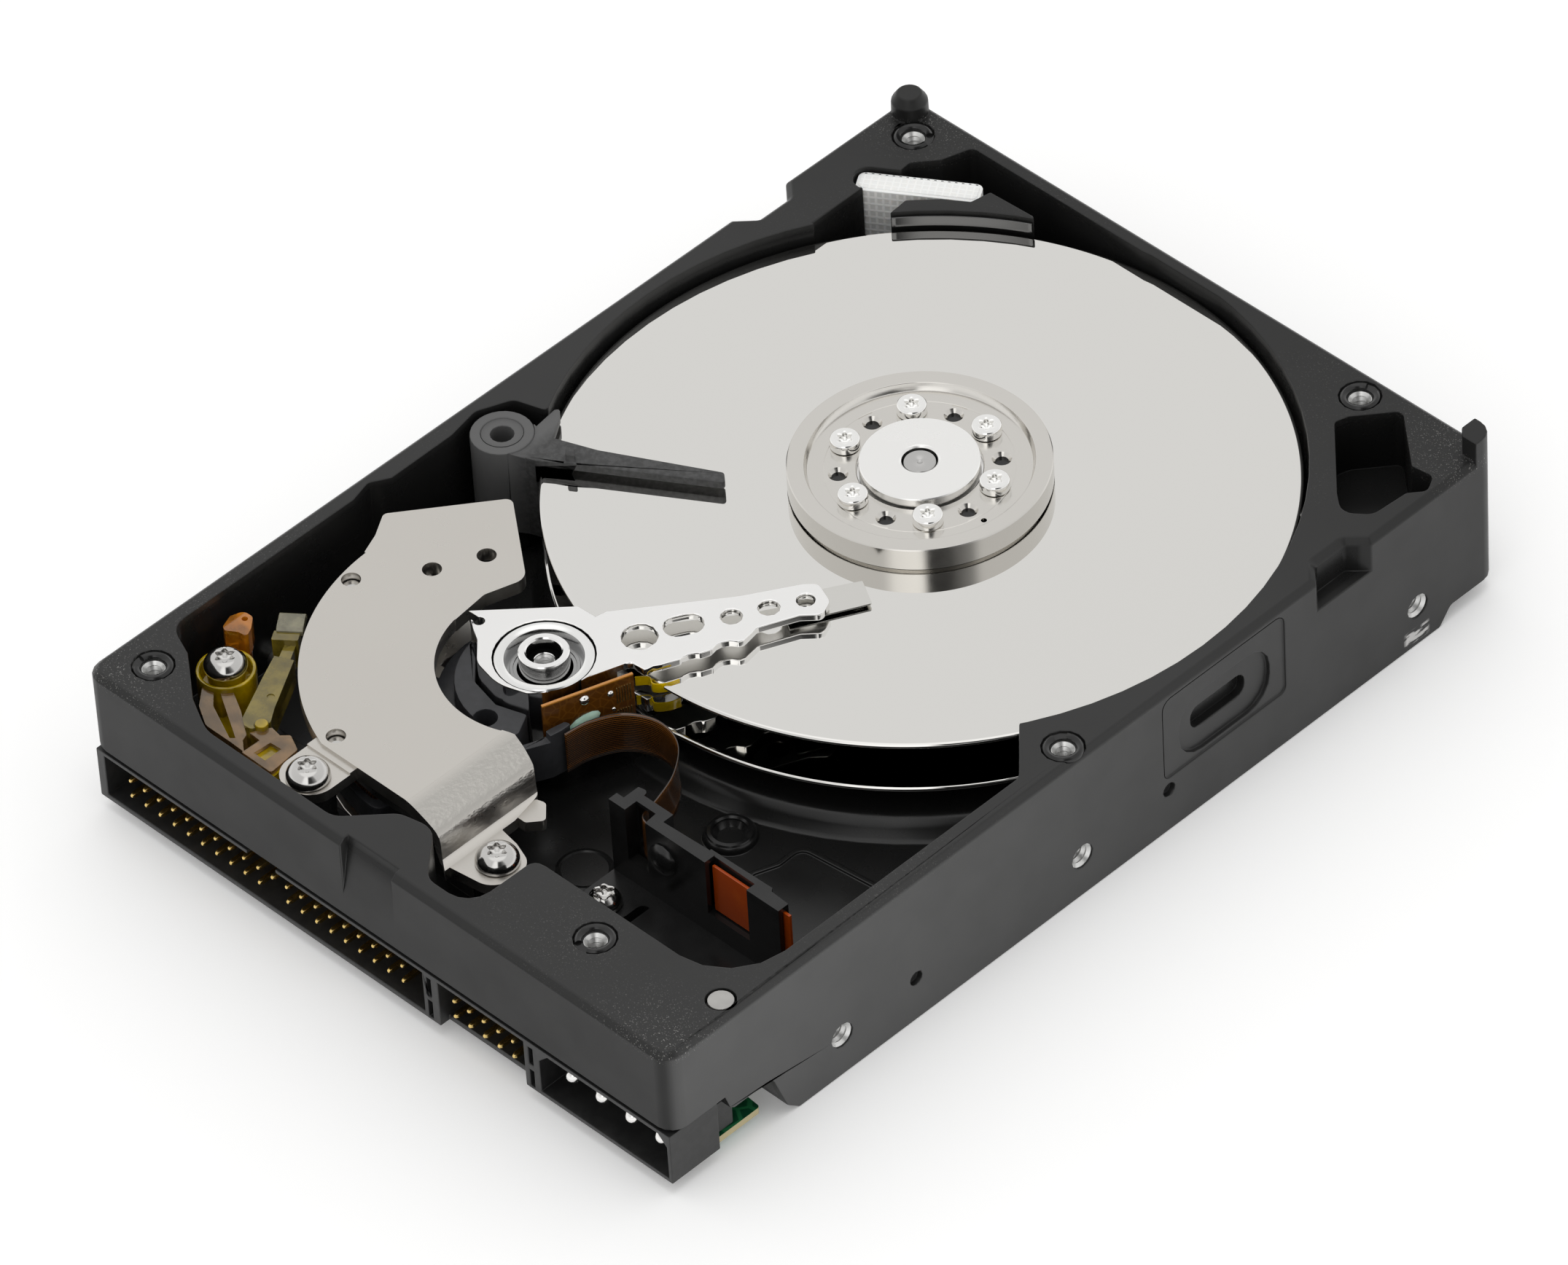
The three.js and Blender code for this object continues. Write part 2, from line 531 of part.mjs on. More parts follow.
function armHoles() {
  let holes = cylinder([6.2, -4.1], 1.2, 0, 30, 10);
  holes = holes.add(cylinder([3.8, -8.1], 1.4, 0, 30, 10));
  holes = holes.add(cylinder([1.5, -12.3], 1.4, 0, 30, 10));
  holes = holes.add(cylinder([-4.3, -22.4], 2.3, 0, 30, 14));
  const oblong = [[15.1, 1.8], [20.2, 1.8], [20.2, -1.8], [15.1, -1.8]].map(([out, left]) => armPoint(out, left, 1.75));
  holes = holes.add(prism(oblong, 0, 30));
  // The three scallops along the arms' right-hand edge.
  for (const place of [[6.1, -17.2], [4.6, -21.5], [2.9, -25.9]]) {
    holes = holes.add(cylinder(place, 2.35, 0, 30, 16));
  }
  return holes;
}

function discBands() {
  const bands = [LOWER_DISC, UPPER_DISC].map((underside) => {
    const low = underside - BAND;
    const high = underside + DISC_THICKNESS + BAND;
    return sector(PIVOT, 7.9, 60, 30, 150, low, high);
  });
  return bands[0].add(bands[1]);
}

function carriage() {
  let body = prism(CORE_OUTLINE, CARRIAGE_LOW, CARRIAGE_TOP);
  for (const [low, high] of ARM_LEVELS) {
    body = body.add(prism(ARM_OUTLINE, low, high));
  }
  const keyway = cylinder([-21, -33.6], 0.7, 0, 30, 12).add(box([-24, -34, 0], [-21, -33.2, 30]));
  return body
    .subtract(discBands())
    .subtract(armHoles())
    .subtract(keyway)
    .subtract(cylinder(PIVOT, BEARING_RADIUS + 0.2, 0, 30, 32));
}

function pivotSleeve() {
  const profile = [
    [3.5, 9.8], [BEARING_RADIUS, 9.8], [BEARING_RADIUS, 22.3], [6, 22.5], [5.1, 22.4], [4.95, 20.6], [3.5, 20.6],
  ];
  return turned(profile, PIVOT, 28);
}

function pivotShaft() {
  const profile = [
    [0, 7.5], [3.2, 7.5], [3.2, 23.3], [3.1, 23.4], [2.4, 23.4], [2.2, 23], [2.2, 21.8], [1.3, 21.8],
    [1.3, 17], [0, 17],
  ];
  return turned(profile, PIVOT, 20);
}

const COIL_FROM = 214;
const COIL_TO = 266;

function coil() {
  const winding = sector(PIVOT, 15, 27.2, COIL_FROM, COIL_TO, COIL_LOW, COIL_HIGH, 1.5);
  return winding.subtract(sector(PIVOT, 18.6, 23.8, COIL_FROM + 11, COIL_TO - 11, 0, 30, 1));
}

// The plastic frame moulded around the coil and keyed to the carriage.
function coilFrame() {
  const rim = sector(PIVOT, 13.2, 28.6, COIL_FROM - 4, COIL_TO + 4, COIL_LOW, COIL_HIGH, 1.5);
  const coilRoom = sector(PIVOT, 14.7, 27.5, COIL_FROM - 1.2, COIL_TO + 1.2, 0, 30, 1.5);
  const crescent = sector(PIVOT, 7, 13.8, 176, 290, COIL_LOW, COIL_HIGH)
    .add(sector(PIVOT, 7, 11.3, 176, 298, COIL_LOW, 19.4, 0.8));
  const carriageRoom = prism(CORE_OUTLINE.map(([x, y]) => {
    const [dx, dy] = [x - PIVOT[0], y - PIVOT[1]];
    const grow = 1 + 0.35 / Math.hypot(dx, dy);
    return [PIVOT[0] + dx * grow, PIVOT[1] + dy * grow];
  }), 0, 30);
  const hole = cylinder([-10.6, -42.9], 1.5, 0, 30, 16);
  return rim.subtract(coilRoom).add(crescent.subtract(carriageRoom)).subtract(hole);
}

// One head suspension: a thin tapering spring with its slider under or over the tip.
function headSuspension(armLevel, side) {
  const [low, high] = ARM_LEVELS[armLevel];
  const face = side < 0 ? low : high;
  const thickness = 0.25;
  const near = face + side * 0.15;
  const plate = [
    armPoint(30.4, 2.2), armPoint(35, 2.5), armPoint(41, 2.4, 0.2), armPoint(41, -1.9, 0.2),
    armPoint(35, -2.1), armPoint(30.4, -2.2),
  ];
  const slab = (corners, from, to) => prism(corners, Math.min(from, to), Math.max(from, to));
  const blade = slab(plate, near, near + side * thickness);
  const sliderPlan = [armPoint(39, 0.7), armPoint(40.2, 0.7), armPoint(40.2, -0.6), armPoint(39, -0.6)];
  const slider = slab(sliderPlan, near, near + side * (thickness + 0.3));
  return blade.add(slider);
}

const BOARD_TOP = [-1.3, -27];
const BOARD_FOOT = [-5.6, -39.1];

// An upright slab standing on a line in plan, its near side set off to the right of the line.
function uprightSlab(from, to, offset, thickness, low, high) {
  const line = new THREE.Vector2(to[0] - from[0], to[1] - from[1]).normalize();
  const right = [-line.y, line.x];
  const at = ([x, y], distance) => [x + right[0] * distance, y + right[1] * distance];
  return prism([at(from, offset), at(from, offset + thickness), at(to, offset + thickness), at(to, offset)], low, high);
}

function along(from, to, share) {
  return [from[0] + (to[0] - from[0]) * share, from[1] + (to[1] - from[1]) * share];
}

function preampChip() {
  const from = along(BOARD_TOP, BOARD_FOOT, 0.34);
  const to = along(BOARD_TOP, BOARD_FOOT, 0.6);
  return uprightSlab(from, to, 1.15, 0.8, 15.2, 18.8);
}

function flexClamp() {
  const wall = prism([[-4.8, -42.8], [-3.4, -39.6], [-2.3, -39.9], [-4, -43.4, 0.3]], 12.4, 18.3);
  const post = prism([[-3.3, -38.8], [-2.9, -36.9, 0.3], [-2, -36.6, 0.3], [-2, -38.2], [-2.3, -39.9], [-3.4, -39.7]],
    12.4, 19.4);
  return wall.add(post);
}

add('carriage', carriage(), ALUMINIUM);
add('pivot_sleeve', pivotSleeve(), STEEL);
add('pivot_shaft', pivotShaft(), STEEL);
add('coil', coil(), COPPER);
add('coil_frame', coilFrame(), GREY_PLASTIC);
add('head_1', headSuspension(0, 1), STEEL);
add('head_2', headSuspension(1, -1), STEEL);
add('head_3', headSuspension(1, 1), STEEL);
add('head_4', headSuspension(2, -1), STEEL);
add('preamp_board', uprightSlab(BOARD_TOP, BOARD_FOOT, 0.5, 0.5, 13.4, 22.2), POLYIMIDE);
add('preamp_chip', preampChip(), GREEN_RESIN);
add('flex_clamp', flexClamp(), GREY_PLASTIC);

// ---------------------------------------------------------------- flex ribbon and its bracket
const BRACKET_TOP = 20;
const BRACKET_FRONT = -43.3;
const BRACKET_PLATE = 8.2;
const RIBBON_LOW = 12.6;
const RIBBON_HIGH = 19.1;

// The ribbon stands on edge and loops from the carriage round to the slot in the bracket.
function flexRibbon() {
  const route = [
    [-1.6, -38.2], [-0.9, -34.6], [1.3, -30.9], [5.3, -29.1], [9.7, -30.3], [13, -34.2], [14.7, -38.6], [15.5, -41.8], [17.2, -42.6],
  ];
  const path = new THREE.CatmullRomCurve3(route.map(([x, y]) => new THREE.Vector3(x, y, 0)));
  const points = path.getSpacedPoints(28);
  const half = 0.13;
  const edge = (side) => points.map((point, index) => {
    const tangent = path.getTangentAt(index / (points.length - 1));
    return [point.x - tangent.y * half * side, point.y + tangent.x * half * side];
  });
  return prism([...edge(-1), ...edge(1).reverse()], RIBBON_LOW, RIBBON_HIGH);
}

// The bracket's base plate, its wall with the ribbon's slot, and the window that the film lies behind.
function flexBracket() {
  const wall = prism([
    [11.3, BRACKET_FRONT], [11.3, -41.9], [12.5, -41.9], [12.5, -39.4], [13.9, -39.1, 0.6], [14.1, -40],
    [19.1, -40], [19.1, -41.7], [26.6, -41.4], [27.8, -41.6], [27.8, BRACKET_FRONT], [17.6, BRACKET_FRONT],
    [17.4, -41.3], [14.1, -41.3], [14.1, BRACKET_FRONT],
  ], BRACKET_PLATE, BRACKET_TOP);
  const foot = box([11.3, BRACKET_FRONT, BRACKET_PLATE], [40.3, -41.7, 11.5]);
  const end = prism([[34.9, BRACKET_FRONT], [34.9, -41.3], [40.3, -41.6], [40.3, BRACKET_FRONT]],
    BRACKET_PLATE, BRACKET_TOP);
  const strip = prism([[26.6, -41.6], [26.6, -41], [36.8, -40.8], [37.5, -41.8]], BRACKET_PLATE, BRACKET_TOP - 0.2);
  const filmSlot = box([27, -42.6, 11.4], [41, -41.75, 19.3]);
  const ribbonSlot = prism([[14.3, -39], [14.3, -41.6], [16.2, -41.6], [15.9, -39]], 12.3, 19.4);
  const plate = prism([
    [11.3, -42.9], [11.3, -51, 3], [18.2, -51, 3], [18.2, -45.2, 1], [19.4, -45.2], [19.4, -54.2, 2],
    [46, -54.2, 8], [46, -42.9],
  ], 6.3, BRACKET_PLATE);
  const dome = new THREE.SphereGeometry(2.3, 12, 8).scale(1, 0.5, 1).translate(20.4, BRACKET_FRONT, 15.6);
  return wall.add(foot).add(end).add(strip).subtract(filmSlot).subtract(ribbonSlot).add(plate).add(solid(dome))
    .subtract(cylinder(BRACKET_SCREW, 1.3, 5, 12, 12));
}

add('flex_ribbon', flexRibbon(), POLYIMIDE);
add('flex_bracket', flexBracket(), BLACK_PLASTIC);
add('flex_tail', box([28.1, -42.4, 11.7], [41.2, -42, 19]), POLYIMIDE);
add('bracket_screw', screw(BRACKET_SCREW, BRACKET_PLATE + 0.1, 2.2, 1.9, 1.1, 2.4), STEEL);

// ---------------------------------------------------------------- latch, comb and air filter
// The latch's body: a cup round its screw, a forked top plate, and the block that stops the lever.
function latchBase() {
  const cup = cylinder(LATCH_SCREW, 3.8, 12.3, 17.2, 28).subtract(cylinder(LATCH_SCREW, 3.2, 15.5, 18, 24));
  const seat = cylinder(LATCH_SCREW, 2.4, 15, 18.4, 20);
  const fork = prism([
    [-43.6, -59.7], [-42.3, -60.7], [-39.7, -63.8], [-36.6, -65.6], [-32.2, -65.6], [-29.6, -65.7],
    [-31.2, -64.4], [-31.6, -63.4], [-35.1, -61], [-38.8, -59], [-40.3, -56.3],
  ], 12.4, 17.5);
  const forkSlot = prism([[-40.2, -60.8], [-39.7, -60.3], [-32.2, -64.7], [-32.7, -65.3], [-38.4, -62.6]], 13.6, 18);
  const block = prism([[-29.9, -65.9], [-29.9, -63.2], [-27.5, -60, 0.4], [-25, -61, 0.4], [-24.2, -66, 0.4]], 12.4, 17.5);
  const pin = cylinder(LATCH_PIVOT, 0.9, 12.4, 18.3, 14);
  const foot = prism([[-33, -66], [-33, -60], [-29.4, -59.6], [-27, -66]], 12.3, 13.2);
  return cup.add(fork.subtract(cylinder(LATCH_SCREW, 3.2, 15.5, 18, 24))).subtract(forkSlot).add(seat).add(block)
    .add(foot).add(pin).subtract(cylinder(LATCH_SCREW, 1.5, 10, 20, 14));
}

function latchLever() {
  const lever = prism([
    [-32.9, -62.6, 1.2], [-30.6, -63.2, 1.2], [-29.2, -60.8, 1], [-35.8, -51, 1], [-37.6, -49.6], [-39.4, -47.2],
    [-41.6, -44.8, 0.4], [-43.8, -46.6, 0.4], [-41.4, -49.4], [-39.2, -51.8, 1], [-37.4, -53.4, 1],
  ], 13.5, 18);
  return lever.subtract(cylinder(LATCH_PIVOT, 1.1, 0, 30, 16));
}

function latchBumper() {
  return prism([
    [-46.9, -52.7, 0.6], [-47.4, -50.4, 0.8], [-46.8, -49, 0.8], [-44.7, -49.4, 0.8], [-43, -51.4, 0.4],
    [-42.6, -52.6, 0.4], [-44.6, -52.8],
  ], 9.9, 18);
}

// The comb between the discs: full height at its boss, with fingers over, between and under the discs.
function discComb() {
  const boss = cylinder(COMB_SCREW, 4.1, 9.3, 22.6, 28);
  const wing = prism([
    [-44, -3.8], [-41.5, -3.8], [-42, -0.2, 0.3], [-41.6, 0.4, 0.3], [-40.4, -0.7], [-38.3, -3.9], [-32.4, -1.7],
    [-17.9, 5.8, 0.4], [-16.4, 4.5, 0.4], [-32.6, -5.5], [-36.9, -8.4], [-38.3, -8.9, 0.6], [-43, -11.6],
  ], 9.3, 22.4);
  const tab = prism([[-34.9, -5], [-34.2, -4.4], [-32.8, -5.4], [-33.9, -6.1]], 9.3, 23.6);
  const slots = [LOWER_DISC, UPPER_DISC].map((underside) => {
    return cylinder(SPINDLE, DISC_RADIUS + 0.4, underside - 0.7, underside + DISC_THICKNESS + 0.7, 64);
  });
  return boss.add(wing).add(tab).subtract(slots[0]).subtract(slots[1])
    .subtract(cylinder(COMB_SCREW, 2.7, 22.4, 24, 24)).subtract(cylinder(COMB_SCREW, 1.5, 8, 24, 16));
}

add('latch_base', latchBase(), AMBER_PLASTIC);
add('latch_lever', latchLever(), AMBER_PLASTIC);
add('latch_bumper', latchBumper(), ORANGE_RUBBER);
add('latch_screw', screw(LATCH_SCREW, 18.5, SCREW_HEAD, 1.7, 1.2, 8), STEEL);
add('disc_comb', discComb(), GREY_PLASTIC);
add('comb_screw', screw(COMB_SCREW, 19.5, 1.3, 0.1, 1.2, 11), STEEL);
add('air_filter', filterBar(16.2, 3.5, DISC_FLOOR + 0.3, DECK - 0.5), FILTER_FABRIC);

// ---------------------------------------------------------------- connectors and circuit board
const BLOCK_LOW = 2;
const BLOCK_HIGH = 9.9;
const PIN_ROWS = [4.75, 7.29];
const FRONT = -END;

function connectorBlock() {
  let block = box([-50.1, FRONT, BLOCK_LOW], [50.2, -64.2, BLOCK_HIGH]);
  block = block.add(box([-48.6, -64.6, 2.6], [48.6, -60.4, 7.4]));
  block = block.subtract(box([-48.7, FRONT - 1, 2.8], [7.7, -65, 9.3]));
  block = block.subtract(box([-23, FRONT - 1, 9], [-18, -68, 11]));
  block = block.subtract(box([10.4, FRONT - 1, 2.9], [25.2, -65, 9.3]));
  block = block.subtract(box([10.4, FRONT - 1, 1], [25.2, FRONT + 1.5, 4]));
  for (const x of [8.4, 26]) {
    block = block.subtract(box([x, FRONT - 1, 2.4], [x + 0.75, -68, 5.2]));
    block = block.subtract(box([x, FRONT - 1, 6.1], [x + 0.75, -68, 9]));
  }
  const power = lengthways([[27.9, 2.7], [49.6, 2.7], [49.6, 7.8], [48.1, 9.3], [29.4, 9.3], [27.9, 7.8]], FRONT - 1, -65);
  return block.subtract(power);
}

// Square pins in two rows, held by a thin carrier at the back of the shroud.
function pinSet(first, columns, missing = -1) {
  const half = 0.32;
  const back = -65.5;
  const last = first + (columns - 1) * PIN_PITCH;
  let pins = box([first - 0.8, back, PIN_ROWS[0] - 0.8], [last + 0.8, back + 0.3, PIN_ROWS[1] + 0.8]);
  for (let column = 0; column < columns; column += 1) {
    const x = first + column * PIN_PITCH;
    for (const z of PIN_ROWS) {
      const isGap = column === missing && z === PIN_ROWS[0];
      if (!isGap) pins = pins.add(box([x - half, -71.9, z - half], [x + half, back + 0.1, z + half]));
    }
  }
  return pins;
}

function powerPin(x) {
  const radius = 1.05;
  const profile = [
    [0, -65.3], [radius, -65.3], [radius, -70.2], [radius * 0.7, -71], [0, -71.2],
  ].map(([r, y]) => new THREE.Vector2(r, -y));
  return solid(new THREE.LatheGeometry(profile, 12).rotateZ(Math.PI).translate(x, 0, 6.3));
}

function circuitBoard() {
  const board = prism([
    [-48.8, -63.9, 0.5], [48.9, -63.9, 0.5], [48.9, -56.2, 0.5], [43.8, -55.8], [43.8, 12, 2], [24, 30, 3],
    [-24, 30, 3], [-43.8, 12, 2], [-43.8, -55.8], [-48.8, -56.2, 0.5],
  ], 1.3, 2.3);
  return BOARD_SCREWS.reduce((body, place) => body.subtract(cylinder(place, 1.5, 0, 4, 12)), board);
}

add('connector_block', connectorBlock(), BLACK_PLASTIC);
add('ide_pins', pinSet(IDE_FIRST, IDE_COLUMNS, 10), GOLD);
add('jumper_pins', pinSet(JUMPER_FIRST, JUMPER_COLUMNS), GOLD);
for (let pin = 0; pin < POWER_PINS; pin += 1) {
  add(`power_pin_${pin + 1}`, powerPin(POWER_FIRST + pin * POWER_PITCH), STEEL);
}
add('circuit_board', circuitBoard(), GREEN_BOARD);
add('controller_chip', box([-16, -30, 2.4], [4, -10, 3.4]), BLACK_PLASTIC);
BOARD_SCREWS.forEach((place, index) => {
  const upright = screw(place, 0, 2.2, 0.7, 1.1, 3);
  add(`board_screw_${index + 1}`, upright.mirror([0, 0, 1]).translate([0, 0, 1.2]), STEEL);
});

export default model;
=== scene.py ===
# The looks of the open hard disk drive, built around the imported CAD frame.
# Shapes are drawn in millimetres in the frame's own axes and scaled to metres when they become pieces.
import math

import bpy
from mathutils import Matrix, Vector


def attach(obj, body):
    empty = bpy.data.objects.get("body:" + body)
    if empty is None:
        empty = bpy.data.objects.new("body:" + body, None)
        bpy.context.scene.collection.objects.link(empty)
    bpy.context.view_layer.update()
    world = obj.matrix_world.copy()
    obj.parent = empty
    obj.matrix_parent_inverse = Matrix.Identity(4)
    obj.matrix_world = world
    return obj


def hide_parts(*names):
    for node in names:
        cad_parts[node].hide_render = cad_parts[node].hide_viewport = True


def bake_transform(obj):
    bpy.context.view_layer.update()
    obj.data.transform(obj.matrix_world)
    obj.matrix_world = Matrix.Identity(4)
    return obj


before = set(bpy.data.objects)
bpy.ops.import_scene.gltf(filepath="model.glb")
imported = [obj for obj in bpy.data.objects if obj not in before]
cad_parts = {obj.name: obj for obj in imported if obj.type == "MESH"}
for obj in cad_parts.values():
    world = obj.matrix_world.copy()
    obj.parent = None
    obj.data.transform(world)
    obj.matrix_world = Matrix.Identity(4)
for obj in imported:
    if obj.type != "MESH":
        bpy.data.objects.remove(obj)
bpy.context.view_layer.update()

MM = 0.001

# Driving places and sizes. A place is (x, y): X runs across the drive, and Y along it from the connectors.
SPINDLE = (0.0, 22.3)
PIVOT = (-10.6, -32.6)
DECK = 23.0             # height of the rim that the cover sits on
SIDE = 50.8             # half the width over the side walls
LOWER_DISC = 12.5       # undersides of the two discs
UPPER_DISC = 19.7
DISC_THICKNESS = 0.8
DISC_RADIUS = 47.5
DISC_BORE = 12.7
CLAMP_SCREW_CIRCLE = 10.2
CLAMP_SCREW_ANGLES = (20, 80, 140, 200, 260, 320)
YOKE_UPPER = 20.0       # underside and top of the yoke's upper plate
YOKE_TOP = 22.0
FILTER_PLACE = (-37.6, 60.5)
FILTER_ANGLE = 32.5

# The camera: its direction from the object and its roll in degrees, and its place in metres.
CAMERA_AZIMUTH = 47.374
CAMERA_ELEVATION = 42.986
CAMERA_ROLL = -3.691
CAMERA_DISTANCE = 1.54742
CAMERA_RIGHT = -0.003069
CAMERA_UP = 0.006949
CAMERA_CENTRE = (0, 0.0012, 0)
CAMERA_LENS = 285.8


# ------------------------------------------------------------------ camera


def make_camera():
    """The camera at the viewing angle, far off with a long lens."""
    azimuth, elevation, roll = (math.radians(a) for a in (CAMERA_AZIMUTH, CAMERA_ELEVATION, CAMERA_ROLL))
    back = Vector((math.sin(azimuth) * math.cos(elevation), -math.cos(azimuth) * math.cos(elevation),
                   math.sin(elevation)))
    right = Vector((math.cos(azimuth), math.sin(azimuth), 0))
    up = back.cross(right)
    rolled_right = right * math.cos(roll) + up * math.sin(roll)
    rolled_up = up * math.cos(roll) - right * math.sin(roll)
    offset = rolled_right * CAMERA_RIGHT + rolled_up * CAMERA_UP
    place = back * CAMERA_DISTANCE + offset + Vector(CAMERA_CENTRE)
    data = bpy.data.cameras.new("camera")
    data.lens = CAMERA_LENS
    data.sensor_width = 36
    data.clip_start = 0.05
    data.clip_end = 50
    camera = bpy.data.objects.new("camera", data)
    turn = Matrix((rolled_right, rolled_up, back)).transposed().to_4x4()
    camera.matrix_world = Matrix.Translation(place) @ turn
    bpy.context.scene.collection.objects.link(camera)
    bpy.context.scene.camera = camera


# ------------------------------------------------------------------ material helpers


class Material:
    """A procedural material: a Principled shader and short calls that add texture nodes to it."""

    def __init__(self, name, colour, roughness, metallic=0.0, **sockets):
        self.data = bpy.data.materials.new(name)
        self.data.use_nodes = True
        self.nodes = self.data.node_tree.nodes
        self.links = self.data.node_tree.links
        self.shader = self.nodes["Principled BSDF"]
        self.shader.inputs["Base Color"].default_value = (*colour, 1)
        self.shader.inputs["Roughness"].default_value = roughness
        self.shader.inputs["Metallic"].default_value = metallic
        for socket, value in sockets.items():
            self.shader.inputs[socket.replace("_", " ")].default_value = value
        coordinates = self.nodes.new("ShaderNodeTexCoord")
        self.place = coordinates.outputs["Object"]
        self.bump_normal = None

    def node(self, kind, **values):
        made = self.nodes.new("ShaderNode" + kind)
        for name, value in values.items():
            setattr(made, name, value)
        return made

    def link(self, source, target):
        self.links.new(source, target)

    def noise(self, scale, detail=3.0, stretch=(1, 1, 1), roughness=0.55):
        """A noise texture's value; scale is in features per metre."""
        mapping = self.node("Mapping")
        mapping.inputs["Scale"].default_value = stretch
        self.link(self.place, mapping.inputs["Vector"])
        texture = self.node("TexNoise")
        texture.inputs["Scale"].default_value = scale
        texture.inputs["Detail"].default_value = detail
        texture.inputs["Roughness"].default_value = roughness
        self.link(mapping.outputs["Vector"], texture.inputs["Vector"])
        return texture.outputs["Fac"]

    def math(self, operation, first, second=None, third=None):
        made = self.node("Math", operation=operation)
        for index, value in enumerate((first, second, third)):
            if value is None:
                continue
            if isinstance(value, (int, float)):
                made.inputs[index].default_value = value
            else:
                self.link(value, made.inputs[index])
        return made.outputs["Value"]

    def ramp(self, value, low, high, out_low=0.0, out_high=1.0):
        made = self.node("MapRange")
        made.inputs["From Min"].default_value = low
        made.inputs["From Max"].default_value = high
        made.inputs["To Min"].default_value = out_low
        made.inputs["To Max"].default_value = out_high
        self.link(value, made.inputs["Value"])
        return made.outputs["Result"]

    def times(self, *factors):
        """The product of two or more values."""
        product = factors[0]
        for factor in factors[1:]:
            product = self.math("MULTIPLY", product, factor)
        return product

    def axis(self, name):
        """Where a point lies along an axis, in metres."""
        split = self.node("SeparateXYZ")
        self.link(self.place, split.inputs[0])
        return split.outputs[name]

    def facing(self, name):
        """How far a face points along an axis: one straight along it, minus one straight against it."""
        split = self.node("SeparateXYZ")
        self.link(self.node("NewGeometry").outputs["Normal"], split.inputs[0])
        return split.outputs[name]

    def level(self):
        """One on a level face, zero on a wall."""
        return self.math("ABSOLUTE", self.facing("Z"))

    def distance(self, centre):
        """How far a point is from an upright axis."""
        dx = self.math("SUBTRACT", self.axis("X"), centre[0] * MM)
        dy = self.math("SUBTRACT", self.axis("Y"), centre[1] * MM)
        return self.math("SQRT", self.math("ADD", self.times(dx, dx), self.times(dy, dy)))

    def wave(self, value, pitch_mm):
        """A sine wave along a length."""
        return self.math("SINE", self.times(value, 2 * math.pi / (pitch_mm * MM)))

    def rings(self, centre, pitch_mm):
        """A wave in the distance from an upright axis: the marks of a turning tool."""
        return self.wave(self.distance(centre), pitch_mm)

    def groove(self, centre, radius_mm, width_mm):
        """One on a thin circle about an upright axis, falling to zero on both sides of it."""
        offset = self.math("ABSOLUTE", self.math("SUBTRACT", self.distance(centre), radius_mm * MM))
        return self.ramp(offset, width_mm * MM, 0.0)

    def within(self, value, low_mm, high_mm, soft_mm=0.3):
        """One between two places along an axis, fading to zero outside them."""
        rise = self.ramp(value, (low_mm - soft_mm) * MM, (low_mm + soft_mm) * MM)
        fall = self.ramp(value, (high_mm + soft_mm) * MM, (high_mm - soft_mm) * MM)
        return self.times(rise, fall)

    def cells(self, scale):
        """The distance to the edges of square cells; scale is in cells per metre."""
        texture = self.node("TexVoronoi", feature="DISTANCE_TO_EDGE", distance="CHEBYCHEV")
        texture.inputs["Scale"].default_value = scale
        self.link(self.place, texture.inputs["Vector"])
        return texture.outputs["Distance"]

    def colour(self, factor, first, second):
        """Mixes two colours by a factor and sends the result to the base colour."""
        mix = self.node("Mix", data_type="RGBA")
        self.link(factor, mix.inputs["Factor"])
        for socket, value in (("A", first), ("B", second)):
            target = [i for i in mix.inputs if i.name == socket and i.type == "RGBA"][0]
            if isinstance(value, tuple):
                target.default_value = (*value, 1)
            else:
                self.link(value, target)
        result = [o for o in mix.outputs if o.type == "RGBA"][0]
        self.link(result, self.shader.inputs["Base Color"])
        return result

    def drive(self, socket, value):
        self.link(value, self.shader.inputs[socket])

    def bump(self, height, strength, distance_mm):
        made = self.node("Bump")
        made.inputs["Strength"].default_value = strength
        made.inputs["Distance"].default_value = distance_mm * MM
        self.link(height, made.inputs["Height"])
        if self.bump_normal is not None:
            self.link(self.bump_normal, made.inputs["Normal"])
        self.bump_normal = made.outputs["Normal"]
        self.link(self.bump_normal, self.shader.inputs["Normal"])


def grey(value):
    return (value, value, value)


def deck_dust(made):
    """Where pale specks lie: all over the deck's corners, and in patches elsewhere at its height."""
    across = made.ramp(made.math("ABSOLUTE", made.axis("X")), 34 * MM, 48 * MM)
    along = made.ramp(made.math("ABSOLUTE", made.axis("Y")), 60 * MM, 70 * MM)
    patches = made.ramp(made.noise(30, 3), 0.5, 0.7, 0, 0.35)
    dusty = made.math("MAXIMUM", patches, made.times(across, along))
    return made.times(dusty, made.within(made.axis("Z"), 21.5, 23.4))


def casting_gloss(made, inside):
    """The coat's gloss: half on the front wall, double at the right wall's front, low on inner walls."""
    gloss = made.ramp(made.axis("Y"), 20 * MM, 70 * MM, 0.5, 0.36)
    gloss = made.times(gloss, made.ramp(made.facing("Y"), -0.5, -0.9, 1, 0.5))
    toward_front = made.ramp(made.axis("Y"), 20 * MM, -60 * MM)
    right_wall = made.times(made.ramp(made.facing("X"), 0.6, 0.95), toward_front)
    gloss = made.times(gloss, made.ramp(right_wall, 0, 1, 1, 2))
    sheltered = made.times(inside, made.ramp(made.level(), 0.3, 0.8, 0.62, 0.05))
    return made.times(gloss, made.math("SUBTRACT", 1.0, sheltered))


